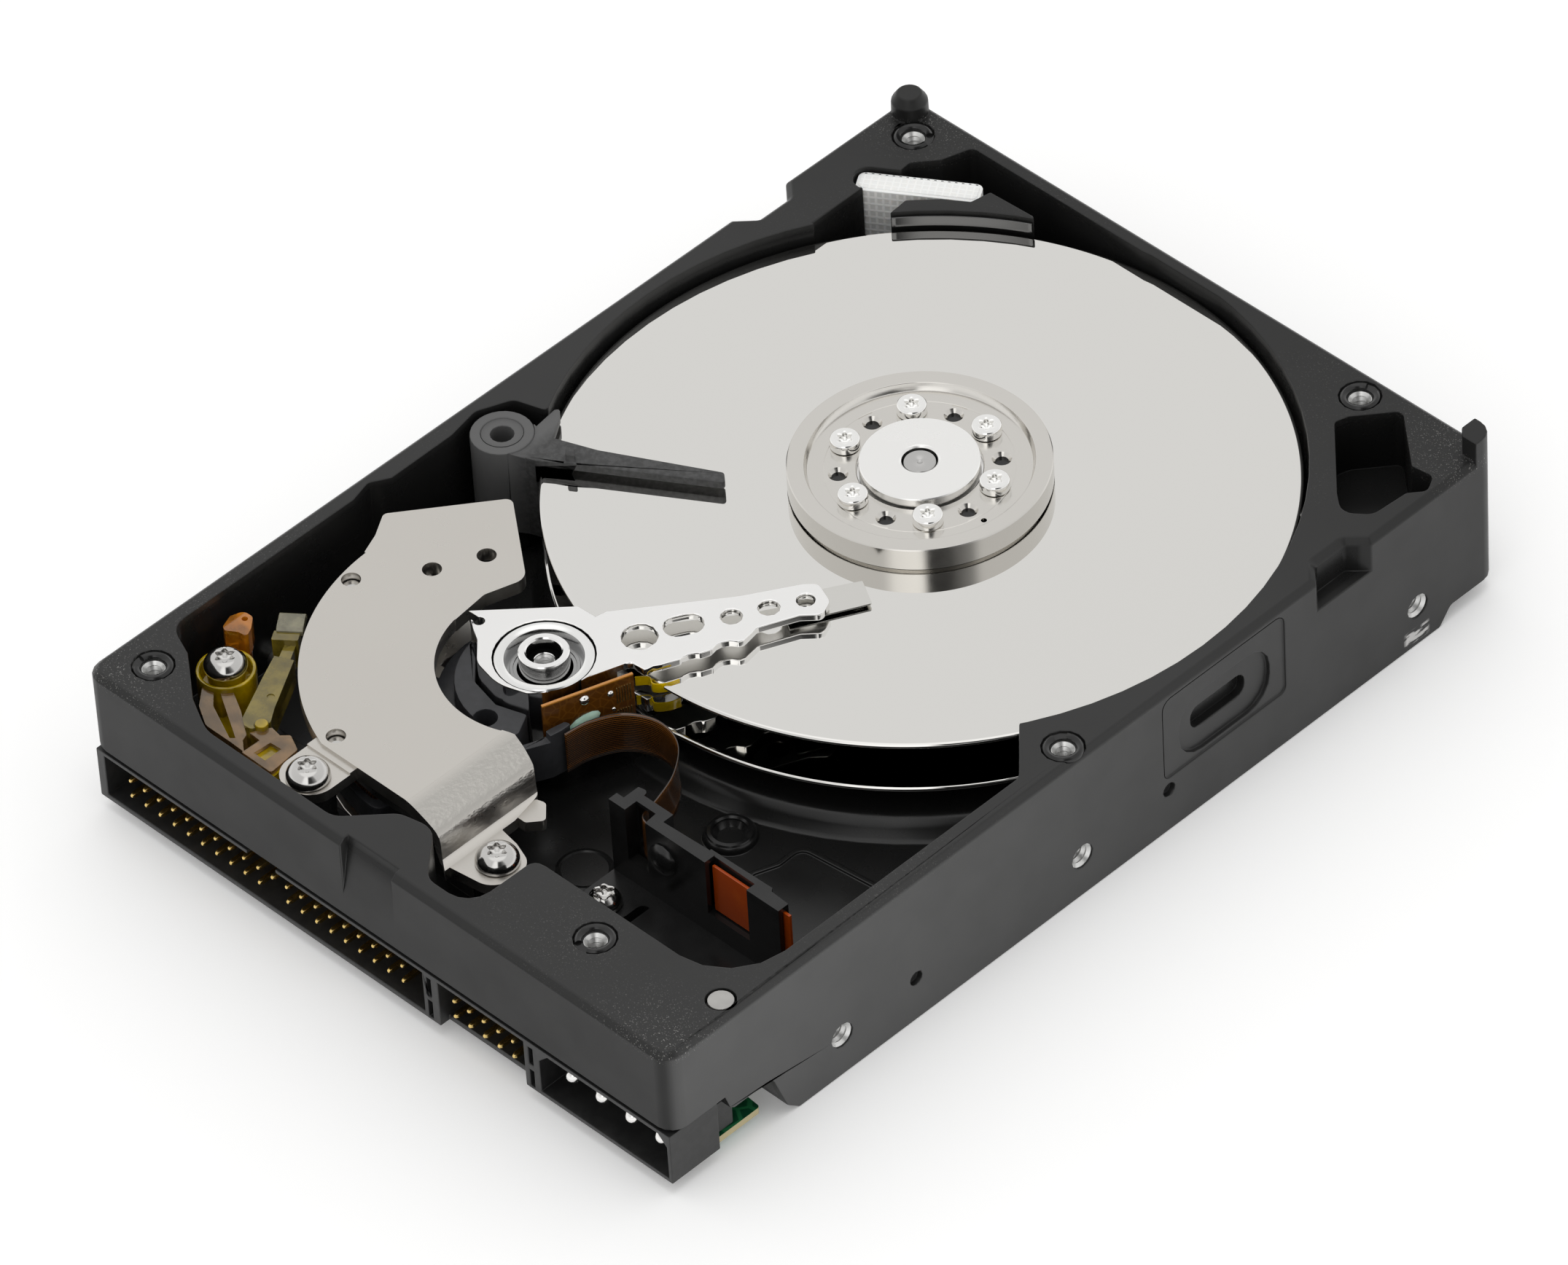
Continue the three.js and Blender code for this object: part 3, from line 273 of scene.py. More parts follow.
def casting_scrape(made):
    """A patch of bare metal low on the right wall, under its rear screw hole."""
    patch = made.times(made.within(made.axis("Y"), 55.4, 59.6), made.within(made.axis("Z"), 0.9, 2.9))
    streaks = made.ramp(made.noise(420, 4, (1, 1, 5)), 0.42, 0.5)
    return made.times(patch, streaks, made.ramp(made.axis("X"), 50.6 * MM, 50.75 * MM))


def casting_material():
    """Satin black coat on a die casting: fine orange peel, pale specks, and a scrape by one screw hole."""
    made = Material("casting_black", (0.013, 0.013, 0.0128), 0.42)
    peel = made.noise(700, 3)
    grain = made.noise(5200, 2)
    inside = made.times(made.within(made.axis("X"), -49.7, 49.7, 0.2),
                        made.within(made.axis("Y"), -71.3, 71, 0.2),
                        made.within(made.axis("Z"), 3, 22.2))
    speckle = made.times(made.ramp(grain, 0.62, 0.7), deck_dust(made))
    coat = made.colour(speckle, (0.012, 0.012, 0.0118), (0.26, 0.255, 0.245))
    satin = made.ramp(made.noise(140, 4), 0.3, 0.7, 0.37, 0.46)
    made.drive("Roughness", made.math("SUBTRACT", satin, made.times(inside, 0.15)))
    made.drive("Specular IOR Level", casting_gloss(made, inside))
    scrape = casting_scrape(made)
    made.colour(scrape, coat, (0.62, 0.61, 0.6))
    made.drive("Metallic", scrape)
    made.bump(made.groove((6.6, -43.9), 3.3, 0.35), 1.0, 0.3)
    made.bump(peel, 0.1, 0.04)
    made.bump(grain, 0.08, 0.015)
    return made.data


def mirror_material():
    made = Material("disc_mirror", (0.8, 0.79, 0.765), 0.015, 1.0)
    made.colour(made.noise(9, 2), (0.795, 0.785, 0.76), (0.81, 0.8, 0.775))
    return made.data


def metal_material(name, dark, light, rough_low, rough_high, scale=300, bump=0.05, rings=None):
    made = Material(name, light, rough_low, 1.0)
    made.colour(made.noise(scale / 4, 3), dark, light)
    made.drive("Roughness", made.ramp(made.noise(scale, 4), 0.3, 0.7, rough_low, rough_high))
    if bump:
        made.bump(made.noise(scale * 6, 2), bump, 0.01)
    if rings:
        made.bump(made.rings(*rings), 0.1, 0.003)
    return made.data


def machined_material():
    """Bright milled aluminium: satin on its level faces, polished on its walls."""
    made = Material("carriage_machined", (0.96, 0.955, 0.945), 0.3, 1.0)
    made.colour(made.noise(80, 3), (0.94, 0.935, 0.925), (0.98, 0.975, 0.965))
    level = made.ramp(made.level(), 0.6, 0.9)
    made.drive("Roughness", made.ramp(level, 0, 1, 0.1, 0.3))
    marks = made.noise(900, 2, (0.15, 1, 1))
    made.bump(made.times(marks, level), 0.12, 0.01)
    return made.data


def bearing_material():
    """Ground bearing steel, darkened down inside the cartridge with painted shade."""
    made = Material("bearing_steel", (0.92, 0.92, 0.91), 0.14, 1.0)
    # The colour darkens with depth below the cartridge's mouth: painted shade.
    made.colour(made.ramp(made.axis("Z"), 21.2 * MM, 22.1 * MM), grey(0.38), (0.92, 0.92, 0.91))
    made.bump(made.rings(PIVOT, 0.15), 0.1, 0.003)
    return made.data


def yoke_material():
    """Nickel-plated pressed steel: even and satin on the flats, pebbled where the bend stretched it."""
    made = Material("yoke_nickel", (0.68, 0.65, 0.6), 0.3, 1.0)
    flat = made.colour(made.noise(40, 3), (0.645, 0.62, 0.58), (0.665, 0.64, 0.6))
    made.drive("Roughness", made.ramp(made.noise(400, 3), 0.3, 0.7, 0.27, 0.32))
    bend = made.within(made.axis("X"), -4.2, 1.2, 0.9)
    made.colour(bend, flat, (0.5, 0.485, 0.455))
    pebbles = made.times(made.noise(1900, 2, (1, 0.6, 1)), bend)
    made.bump(pebbles, 0.9, 0.11)
    return made.data


def plastic_material(name, dark, light, roughness, scale, contrast=(0.4, 0.6), bump=0.1, **sockets):
    made = Material(name, light, roughness, 0.0, **sockets)
    made.colour(made.ramp(made.noise(scale, 4), *contrast), dark, light)
    made.bump(made.noise(scale * 2, 3), bump, 0.02)
    return made.data


def comb_material():
    """Grey moulded resin with a sandy face, a little paler on the boss than along the fingers."""
    made = Material("comb_plastic", (0.06, 0.06, 0.06), 0.5)
    sand = made.ramp(made.noise(1500, 4), 0.42, 0.62)
    fingers = made.colour(sand, (0.036, 0.036, 0.036), (0.062, 0.062, 0.062))
    boss = made.ramp(made.axis("X"), -38 * MM, -40 * MM)
    made.colour(boss, fingers, (0.1, 0.1, 0.1))
    made.bump(made.noise(3000, 3), 0.15, 0.02)
    return made.data


def clear_material(name, colour, roughness, transmission, haze):
    made = Material(name, colour, roughness, 0.0, IOR=1.5, Transmission_Weight=transmission,
                    Coat_Weight=1.0, Coat_Roughness=0.04, Coat_IOR=1.45)
    deep = tuple(c * 0.5 for c in colour)
    made.colour(made.ramp(made.noise(320, 3), 0.38, 0.62), deep, colour)
    made.drive("Roughness", made.ramp(made.noise(350, 3), 0.3, 0.7, roughness, roughness + haze))
    made.bump(made.noise(420, 2), 0.3, 0.08)
    return made.data


def ribbon_material():
    """Polyimide film with copper traces along it, as lines stacked up its height and dull in its middle."""
    film = (0.013, 0.0055, 0.002)
    made = Material("ribbon_polyimide", film, 0.2, 0.0, Coat_Weight=0.7, Coat_Roughness=0.1)
    up = made.axis("Z")
    traces = made.ramp(made.wave(up, 0.3), 0.3, 0.65)
    above = made.ramp(up, 17.6 * MM, 18.4 * MM, 0.25, 1)
    below = made.ramp(up, 14 * MM, 13.2 * MM, 0.25, 1)
    made.colour(made.times(traces, made.math("ADD", above, below)), film, (0.24, 0.085, 0.013))
    made.bump(traces, 0.1, 0.01)
    return made.data


def board_film_material():
    """Dark amber film over copper, with fine paler runs and a bright cut rim."""
    made = Material("preamp_polyimide", (0.13, 0.05, 0.008), 0.18, 0.0, Coat_Weight=0.7, Coat_Roughness=0.1)
    runs = made.ramp(made.cells(900), 0.1, 0.04)
    face = made.colour(runs, (0.105, 0.036, 0.004), (0.15, 0.056, 0.007))
    top = made.ramp(made.axis("Z"), 21.95 * MM, 22.05 * MM)
    foot = made.ramp(made.axis("Z"), 13.6 * MM, 13.5 * MM)
    made.colour(made.math("MAXIMUM", top, foot), face, (0.5, 0.2, 0.02))
    made.bump(runs, 0.2, 0.02)
    return made.data


def board_material():
    """Green solder mask with paler traces, and straw-coloured glass fibre at the cut edges."""
    made = Material("circuit_board_green", (0.01, 0.13, 0.05), 0.32, 0.0, Coat_Weight=0.4)
    traces = made.ramp(made.cells(420), 0.06, 0.1)
    mask = made.colour(traces, (0.03, 0.24, 0.09), (0.008, 0.1, 0.04))
    made.colour(made.ramp(made.level(), 0.5, 0.3), mask, (0.5, 0.42, 0.22))
    made.bump(traces, 0.25, 0.03)
    return made.data


def filter_material():
    """White woven filter fabric: threads along the pouch, picks across its top and rows up its sides."""
    made = Material("filter_felt", (0.8, 0.8, 0.78), 0.8, 0.0, Subsurface_Weight=0.3,
                    Subsurface_Scale=0.002)
    made.shader.inputs["Subsurface Radius"].default_value = (1, 0.9, 0.8)

    def along(degrees):
        angle = math.radians(degrees)
        return made.math("ADD", made.times(made.axis("X"), math.cos(angle)),
                         made.times(made.axis("Y"), math.sin(angle)))

    threads = made.wave(along(FILTER_ANGLE), 0.95)
    picks = made.times(made.level(), made.wave(along(FILTER_ANGLE + 90), 0.8))
    rows = made.wave(made.axis("Z"), 1.1)
    weave = made.math("MAXIMUM", threads, made.math("MAXIMUM", picks, rows))
    made.colour(made.ramp(weave, -0.2, 0.9), (0.72, 0.72, 0.7), (0.95, 0.95, 0.93))
    made.bump(weave, 0.5, 0.08)
    made.bump(made.noise(2500, 3), 0.2, 0.03)
    return made.data


def winding_material():
    """Enamelled copper wire wound around the coil's axis."""
    made = Material("coil_copper", (0.5, 0.2, 0.08), 0.3, 0.9)
    coil_centre = (-21.5, -51.5)
    wires = made.rings(coil_centre, 0.28)
    made.colour(made.ramp(wires, -1, 1), (0.3, 0.11, 0.04), (0.6, 0.26, 0.11))
    made.bump(wires, 0.6, 0.06)
    return made.data


MATERIALS = {
    "casting": casting_material(),
    "mirror": mirror_material(),
    "steel": metal_material("steel_plated", (0.6, 0.59, 0.57), (0.72, 0.71, 0.69), 0.16, 0.26),
    "screw": metal_material("screw_nickel", (0.6, 0.59, 0.575), (0.66, 0.65, 0.635), 0.1, 0.15, bump=0),
    "bright_screw": metal_material("bright_screw", (0.93, 0.925, 0.91), (0.97, 0.965, 0.95), 0.1, 0.16,
                                   bump=0),
    "thread": metal_material("cut_thread", (0.68, 0.68, 0.67), (0.85, 0.85, 0.84), 0.3, 0.42),
    "clamp": metal_material("clamp_turned", (0.7, 0.68, 0.645), (0.72, 0.7, 0.665), 0.14, 0.18, bump=0,
                            rings=(SPINDLE, 0.12)),
    "cap": metal_material("cap_turned", (0.96, 0.955, 0.94), (0.97, 0.965, 0.95), 0.24, 0.28, bump=0,
                          rings=(SPINDLE, 0.1)),
    "shaft": metal_material("shaft_end", (0.5, 0.5, 0.49), (0.6, 0.59, 0.58), 0.2, 0.26, bump=0,
                            rings=(SPINDLE, 0.25)),
    "machined": machined_material(),
    "bearing": bearing_material(),
    "spring": metal_material("spring_steel", (0.7, 0.69, 0.66), (0.75, 0.74, 0.71), 0.1, 0.16, bump=0),
    "plug": metal_material("plug_dull", (0.42, 0.41, 0.4), (0.6, 0.59, 0.57), 0.45, 0.6, 2500, 0.6),
    "magnet": metal_material("magnet_nickel", grey(0.3), (0.42, 0.42, 0.41), 0.25, 0.4),
    "yoke": yoke_material(),
    "coil": winding_material(),
    "stator_coil": metal_material("stator_copper", (0.34, 0.13, 0.05), (0.6, 0.26, 0.12), 0.25, 0.4),
    "black_ring": plastic_material("black_ring", grey(0.008), grey(0.012), 0.2, 300),
    # Near-black and almost unreflecting: painted shade for the bottoms of holes and recesses.
    "painted_shade": plastic_material("painted_shade_black", grey(0.001), grey(0.002), 0.9, 300, Specular_IOR_Level=0.05),
    "black_plastic": plastic_material("black_plastic", grey(0.006), grey(0.01), 0.3, 300),
    "bracket_plastic": plastic_material("bracket_plastic", grey(0.008), grey(0.012), 0.24, 240),
    "wedge_gloss": plastic_material("wedge_gloss", grey(0.012), grey(0.02), 0.16, 60, IOR=1.95,
                                    Specular_IOR_Level=0.7),
    "connector": plastic_material("connector_plastic", grey(0.014), grey(0.02), 0.42, 900),
    "comb": comb_material(),
    "coil_plastic": plastic_material("coil_plastic", (0.028, 0.029, 0.032), (0.036, 0.037, 0.041), 0.4,
                                     700),
    "amber_clear": clear_material("amber_clear", (1.0, 0.7, 0.0), 0.03, 0.45, 0.05),
    "amber_milky": clear_material("amber_milky", (0.6, 0.36, 0.14), 0.08, 0.62, 0.1),
    "olive": clear_material("olive_clear", (0.46, 0.35, 0.04), 0.06, 0.5, 0.1),
    "olive_pale": clear_material("olive_pale", (0.6, 0.56, 0.36), 0.04, 0.55, 0.06),
    "orange": clear_material("orange_clear", (1.0, 0.36, 0.015), 0.05, 0.55, 0.08),
    "ribbon": ribbon_material(),
    "film": plastic_material("film_orange", (0.36, 0.05, 0.002), (0.42, 0.066, 0.003), 0.25, 150),
    "board_film": board_film_material(),
    "board": board_material(),
    "resin": plastic_material("mint_resin", (0.4, 0.62, 0.5), (0.5, 0.7, 0.58), 0.22, 200,
                              Subsurface_Weight=0.2, Subsurface_Scale=0.001),
    "solder": metal_material("solder", (0.86, 0.85, 0.83), (0.93, 0.92, 0.9), 0.08, 0.16),
    "gold": metal_material("gold_flash", (0.85, 0.58, 0.18), (0.95, 0.72, 0.3), 0.16, 0.26),
    "filter": filter_material(),
}


# ------------------------------------------------------------------ shape helpers, in millimetres


def rounded(corners, steps=8):
    """Points of a closed outline through corners (x, y) or (x, y, radius), the latter rounded."""
    points = []
    count = len(corners)
    for index, corner in enumerate(corners):
        here = Vector(corner[:2])
        radius = corner[2] if len(corner) > 2 else 0
        if not radius:
            points.append(tuple(here))
            continue
        before = (Vector(corners[index - 1][:2]) - here).normalized()
        after = (Vector(corners[(index + 1) % count][:2]) - here).normalized()
        half = math.acos(max(-1.0, min(1.0, before.dot(after)))) / 2
        centre = here + (before + after).normalized() * (radius / math.sin(half))
        start = here + before * (radius / math.tan(half)) - centre
        end = here + after * (radius / math.tan(half)) - centre
        sweep = math.atan2(start.cross(end), start.dot(end))
        for step in range(steps + 1):
            angle = sweep * step / steps
            turned_start = Matrix.Rotation(angle, 2) @ start
            points.append(tuple(centre + turned_start))
    return points


def polar(centre, radius, degrees):
    angle = math.radians(degrees)
    return (centre[0] + radius * math.cos(angle), centre[1] + radius * math.sin(angle))


def solid(points, faces):
    mesh = bpy.data.meshes.new("solid")
    mesh.from_pydata([tuple(p) for p in points], [], faces)
    mesh.update()
    made = bpy.data.objects.new("solid", mesh)
    bpy.context.scene.collection.objects.link(made)
    return made


def prism(outline, low, high):
    """An upright prism on a plain list of points, whichever way round they run."""
    area = sum(a[0] * b[1] - b[0] * a[1] for a, b in zip(outline, outline[1:] + outline[:1]))
    ring = list(outline) if area > 0 else list(reversed(outline))
    count = len(ring)
    points = [(x, y, low) for x, y in ring] + [(x, y, high) for x, y in ring]
    faces = [list(reversed(range(count))), list(range(count, 2 * count))]
    faces += [[i, (i + 1) % count, count + (i + 1) % count, count + i] for i in range(count)]
    return solid(points, faces)


def box(low, high):
    corners = [(low[0], low[1]), (high[0], low[1]), (high[0], high[1]), (low[0], high[1])]
    return prism(corners, low[2], high[2])


def cylinder(place, radius, low, high, sides=48):
    return prism([polar(place, radius, 360 * i / sides) for i in range(sides)], low, high)


def turned(profile, place, sides=96, closed=True):
    """A body of revolution about a vertical axis through place; the profile lists (radius, z)."""
    points = []
    starts = []
    for radius, z in profile:
        starts.append((len(points), radius))
        if radius == 0:
            points.append((place[0], place[1], z))
        else:
            points += [(*polar(place, radius, 360 * i / sides), z) for i in range(sides)]
    faces = []
    pairs = list(zip(starts, starts[1:] + starts[:1]))
    for (first, first_radius), (second, second_radius) in pairs if closed else pairs[:-1]:
        for i in range(sides):
            j = (i + 1) % sides
            if first_radius and second_radius:
                faces.append([first + i, first + j, second + j, second + i])
            elif first_radius:
                faces.append([first + i, first + j, second])
            elif second_radius:
                faces.append([first, second + j, second + i])
    return solid(points, faces)


def lengthways(outline, from_y, to_y):
    """A prism along Y with its outline in the XZ plane."""
    made = prism(outline, from_y, to_y)
    made.data.transform(Matrix(((1, 0, 0, 0), (0, 0, 1, 0), (0, 1, 0, 0), (0, 0, 0, 1))))
    made.data.flip_normals()
    return made


def combine(base, others, operation):
    """Joins other solids to a solid or cuts them from it, and removes them."""
    for other in others:
        modifier = base.modifiers.new("combine", "BOOLEAN")
        modifier.operation = operation
        modifier.solver = "MANIFOLD"
        modifier.object = other
    bpy.context.view_layer.update()
    evaluated = base.evaluated_get(bpy.context.evaluated_depsgraph_get())
    mesh = bpy.data.meshes.new_from_object(evaluated)
    base.modifiers.clear()
    base.data = mesh
    for other in others:
        bpy.data.objects.remove(other)
    return base


def join(base, *others):
    return combine(base, others, "UNION")


def cut(base, *others):
    return combine(base, others, "DIFFERENCE")


def overlap(base, *others):
    return combine(base, others, "INTERSECT")


def sector(centre, inner, outer, start, end, low, high, steps=40):
    angles = [start + (end - start) * i / steps for i in range(steps + 1)]
    ring = [polar(centre, outer, a) for a in angles] + [polar(centre, inner, a) for a in reversed(angles)]
    return prism(ring, low, high)


SMOOTH_BELOW = 38       # edges sharper than this many degrees stay sharp in the shading
BEVEL_ABOVE = 32        # edges sharper than this are rounded
FLAT_BELOW = 0.6        # neighbouring faces closer than this become one


def smooth_by_angle_group():
    """Geometry nodes that keep edges sharper than the limit sharp and smooth the rest."""
    group = bpy.data.node_groups.new("smooth_by_angle", "GeometryNodeTree")
    group.interface.new_socket("Geometry", in_out="INPUT", socket_type="NodeSocketGeometry")
    group.interface.new_socket("Geometry", in_out="OUTPUT", socket_type="NodeSocketGeometry")
    source = group.nodes.new("NodeGroupInput")
    result = group.nodes.new("NodeGroupOutput")
    angle = group.nodes.new("GeometryNodeInputMeshEdgeAngle")
    compare = group.nodes.new("FunctionNodeCompare")
    compare.data_type = "FLOAT"
    compare.operation = "LESS_THAN"
    compare.inputs["B"].default_value = math.radians(SMOOTH_BELOW)
    faces = group.nodes.new("GeometryNodeSetShadeSmooth")
    edges = group.nodes.new("GeometryNodeSetShadeSmooth")
    edges.domain = "EDGE"
    group.links.new(source.outputs[0], faces.inputs["Geometry"])
    group.links.new(faces.outputs["Geometry"], edges.inputs["Geometry"])
    group.links.new(angle.outputs["Unsigned Angle"], compare.inputs["A"])
    group.links.new(compare.outputs["Result"], edges.inputs["Shade Smooth"])
    group.links.new(edges.outputs["Geometry"], result.inputs[0])
    return group


SMOOTH_GROUP = smooth_by_angle_group()


def finish_edges(item, bevel_mm, segments=2, weld=False):
    """Rounds an object's sharp edges a little and smooths its shading."""
    if weld:
        modifier = item.modifiers.new("weld", "WELD")
        modifier.merge_threshold = 2e-6
        modifier = item.modifiers.new("flat", "DECIMATE")
        modifier.decimate_type = "DISSOLVE"
        modifier.angle_limit = math.radians(FLAT_BELOW)
    if bevel_mm:
        modifier = item.modifiers.new("bevel", "BEVEL")
        modifier.width = bevel_mm * MM
        modifier.segments = segments
        modifier.limit_method = "ANGLE"
        modifier.angle_limit = math.radians(BEVEL_ABOVE)
        modifier.use_clamp_overlap = not weld
    modifier = item.modifiers.new("smooth", "NODES")
    modifier.node_group = SMOOTH_GROUP
    modifier = item.modifiers.new("normals", "WEIGHTED_NORMAL")
    modifier.keep_sharp = True


def set_material(item, material):
    item.data.materials.clear()
    item.data.materials.append(MATERIALS[material])


def name_and_scale(shape, name, material):
    """Names a millimetre solid, turns it into metres and gives it its material."""
    shape.name = name
    shape.data.name = name
    shape.data.transform(Matrix.Scale(MM, 4))
    set_material(shape, material)


def piece(name, shape, material, body, stands_for=(), bevel=0.12):
    """Turns a millimetre solid into a named piece in metres that rides on a body."""
    name_and_scale(shape, name, material)
    finish_edges(shape, bevel)
    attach(shape, body)
    if stands_for:
        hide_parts(*stands_for)
    return shape


def dress(node, material, bevel=0.15):
    """Gives a CAD node that stays its material and softened edges."""
    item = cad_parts[node]
    set_material(item, material)
    finish_edges(item, bevel, weld=True)


# ------------------------------------------------------------------ repeated small pieces


def lobed_ring(place, radius, z, sides, lobes):
    """A ring of points with six lobes of the given depth, for a star socket."""
    ring = []
    for i in range(sides):
        angle = 360 * i / sides
        reach = radius - lobes * (0.5 - 0.5 * math.cos(math.radians(6 * angle)))
        ring.append((*polar(place, reach, angle + 17), z))
    return ring


PAN_HEAD = ((0.95, 0), (1, 0.05), (1, 0.14), (0.99, 0.26), (0.96, 0.41), (0.91, 0.55), (0.84, 0.68),
            (0.76, 0.79), (0.67, 0.89), (0.58, 0.96))
CHEESE_HEAD = ((0.95, 0), (1, 0.04), (1, 0.86), (0.97, 0.94), (0.92, 1.0), (0.8, 1.0))


def screw_shape(place, seat, head, shank, socket, style=PAN_HEAD):
    """A six-lobed screw: head and shank are (radius, height), and style is the head's outline in shares."""
    sides = 72
    head_radius, head_height = head
    top = seat + head_height
    lobe = socket * 0.3
    rings = [(shank[0], seat - shank[1], 0), (shank[0], seat, 0)]
    rings += [(head_radius * reach, seat + head_height * rise, 0) for reach, rise in style]
    rings += [(socket * 1.1, top, lobe * 0.6), (socket, top - 0.08, lobe),
              (socket * 0.96, top - 0.75, lobe), (socket * 0.4, top - 0.95, 0)]
    points = []
    for radius, z, lobes in rings:
        points += lobed_ring(place, radius, z, sides, lobes)
    faces = [list(reversed(range(sides)))]
    for level in range(len(rings) - 1):
        for i in range(sides):
            j = (i + 1) % sides
            faces.append([level * sides + i, level * sides + j, (level + 1) * sides + j,
                          (level + 1) * sides + i])
    last = (len(rings) - 1) * sides
    faces.append(list(range(last, last + sides)))
    return solid(points, faces)


def screw(node, place, seat, head, shank, socket, material="screw", body="base", style=PAN_HEAD):
    """A screw that stands in for its CAD node."""
    shape = screw_shape(place, seat, head, shank, socket, style)
    piece(node + "_torx", shape, material, body, (node,), 0)


def thread_profile(outer, low, high, pitch=0.8, depth=0.32):
    """The closed profile of a bare threaded wall that lines a hole."""
    profile = [(outer, low), (outer, high)]
    inner = outer - 0.12
    z = high
    profile.append((inner + 0.05, high))
    while z - pitch > low:
        profile.append((inner - depth, z - pitch * 0.5))
        profile.append((inner, z - pitch))
        z -= pitch
    profile.append((inner, low))
    return list(reversed(profile))


def thread_liner(name, place, radius, low, high):
    """A threaded liner in an upright hole."""
    piece(name, turned(thread_profile(radius - 0.03, low, high), place, 32), "thread", "base", bevel=0)


def side_thread(name, y, side):
    """A threaded liner in a side hole, which runs along X; side is 1 on the right and -1 on the left."""
    outside, inside = SIDE - 0.25, SIDE - 4.4
    shape = turned(thread_profile(MOUNT_HOLE_RADIUS - 0.03, 0, outside - inside), (0, 0), 32)
    turn = Matrix.Rotation(math.radians(90 * side), 4, "Y")
    shape.data.transform(Matrix.Translation((side * inside, y, SIDE_HOLE_HEIGHT)) @ turn)
    piece(name, shape, "thread", "base", bevel=0)


# ------------------------------------------------------------------ casting
SIDE_HOLES = (-43.8, -2.2, 57.8)
SIDE_HOLE_HEIGHT = 6.35
UNDER_HOLES = (-31.0, 13.4, 45.2)
UNDER_HOLE_X = 47.62
MOUNT_HOLE_RADIUS = 1.75
FLOOR_BOSS = (15.8, -27.9)
DECK_SCREWS = ((-44.6, 66.6), (31.6, 68.3), (48, -2), (-44.7, -66.2), (29.5, -63.2))
BOTH_SIDES = (("right", 1), ("left", -1))

# The upset lip around each deck screw hole, as (radius, height).
DECK_RING = [(1.62, 22.46), (1.62, 22.8), (1.84, 23.06), (2.16, 23.14), (2.46, 23), (2.62, 22.7),
             (2.62, 22.46)]


def deck_holes():
    """Bare cut threads in the cover's screw holes, each with a lip that is broken somewhere else."""
    for index, place in enumerate(DECK_SCREWS):
        thread_liner(f"deck_thread_{index + 1}", place, 1.5, DECK - 7.5, DECK - 0.6)
        gap = prism([place, polar(place, 5, 60 * index), polar(place, 5, 60 * index + 50)], DECK - 0.3,
                    DECK + 1)
        ring = cut(turned(DECK_RING, place, 64), gap)
        piece(f"deck_ring_{index + 1}", ring, "black_ring", "base", bevel=0)


def floor_boss():
    """The raised lip of the boss on the well's floor, and a dark disc in its hole that is painted shade."""
    lip = [(1.5, 5.32), (2.18, 5.32), (2.2, 6.5), (2.45, 6.72), (2.9, 6.66), (3.05, 6.5), (2.3, 6.4),
           (1.6, 5.4)]
    piece("floor_boss_lip", turned(lip, FLOOR_BOSS, 64), "black_ring", "base", bevel=0)
    # A near-black disc at the bottom of the boss's hole: painted shade.
    piece("floor_boss_painted_shade", cylinder(FLOOR_BOSS, 2.12, 5.32, 5.36, 48), "painted_shade", "base", bevel=0)


def mounting_holes():
    """Bare cut threads in the mounting holes of the side walls and of the rails' undersides."""
    for index, y in enumerate(SIDE_HOLES):
        for name, side in BOTH_SIDES:
            side_thread(f"side_thread_{name}_{index + 1}", y, side)
    for index, y in enumerate(UNDER_HOLES):
        for name, side in BOTH_SIDES:
            place = (side * UNDER_HOLE_X, y)
            thread_liner(f"under_thread_{name}_{index + 1}", place, MOUNT_HOLE_RADIUS, 0.3, 3.9)


dress("base_casting", "casting", 0.2)
dress("locating_plug", "plug", 0.15)
deck_holes()
floor_boss()
mounting_holes()


# ------------------------------------------------------------------ spindle, discs and clamp
# How a disc's edge rounds off, as (in from the rim, away from the face).
DISC_EDGE = ((0.55, 0), (0.28, 0.05), (0.1, 0.15), (0, 0.3))


def disc(name, underside):
    """A polished disc with slightly rounded edges at its rim."""
    top = underside + DISC_THICKNESS
    profile = [(DISC_BORE, underside)]
    profile += [(DISC_RADIUS - inward, underside + rise) for inward, rise in DISC_EDGE]
    profile += [(DISC_RADIUS - inward, top - rise) for inward, rise in reversed(DISC_EDGE)]
    profile.append((DISC_BORE, top))
    piece(name + "_mirror", turned(profile, SPINDLE, 288), "mirror", "rotor", (name,), 0)


def disc_clamp():
    """The turned ring that holds the discs: a wall on a small foot, a flat rim and a ring of holes."""
    profile = [
        (13.2, 20.6), (16.1, 20.6), (16.1, 20.9), (16.54, 20.9), (16.6, 20.96), (16.6, 23.98),
        (16.48, 24.1), (14.5, 24.1), (14.38, 24.02), (14.06, 23.12), (13.96, 23.05), (12.1, 23.05),
        (12.0, 22.99), (11.9, 23.05), (8.0, 23.05), (7.9, 22.95), (7.9, 22.3), (13.2, 22.3),
    ]
    ring = turned(profile, SPINDLE, 192)
    cuts = [cylinder(polar(SPINDLE, CLAMP_SCREW_CIRCLE, a), 1.15, 22, 24) for a in CLAMP_SCREW_ANGLES]
    for angle in CLAMP_SCREW_ANGLES:
        place = polar(SPINDLE, CLAMP_SCREW_CIRCLE, angle + 30)
        cuts.append(turned([(0, 22), (0.85, 22), (0.85, 22.62), (1.32, 23.1), (1.32, 24), (0, 24)], place,
                           48))
    cuts.append(cylinder((12.8, 20.5), 0.38, 22.2, 24, 24))
    piece("clamp_ring", cut(ring, *cuts), "clamp", "rotor", ("disc_clamp",), 0)
    for index, angle in enumerate(CLAMP_SCREW_ANGLES):
        # A dark disc at the bottom of each hole, over the hub: painted shade.
        floor = cylinder(polar(SPINDLE, CLAMP_SCREW_CIRCLE, angle + 30), 0.84, 22.22, 22.3, 32)
        piece(f"clamp_hole_painted_shade_{index + 1}", floor, "black_ring", "rotor", bevel=0)


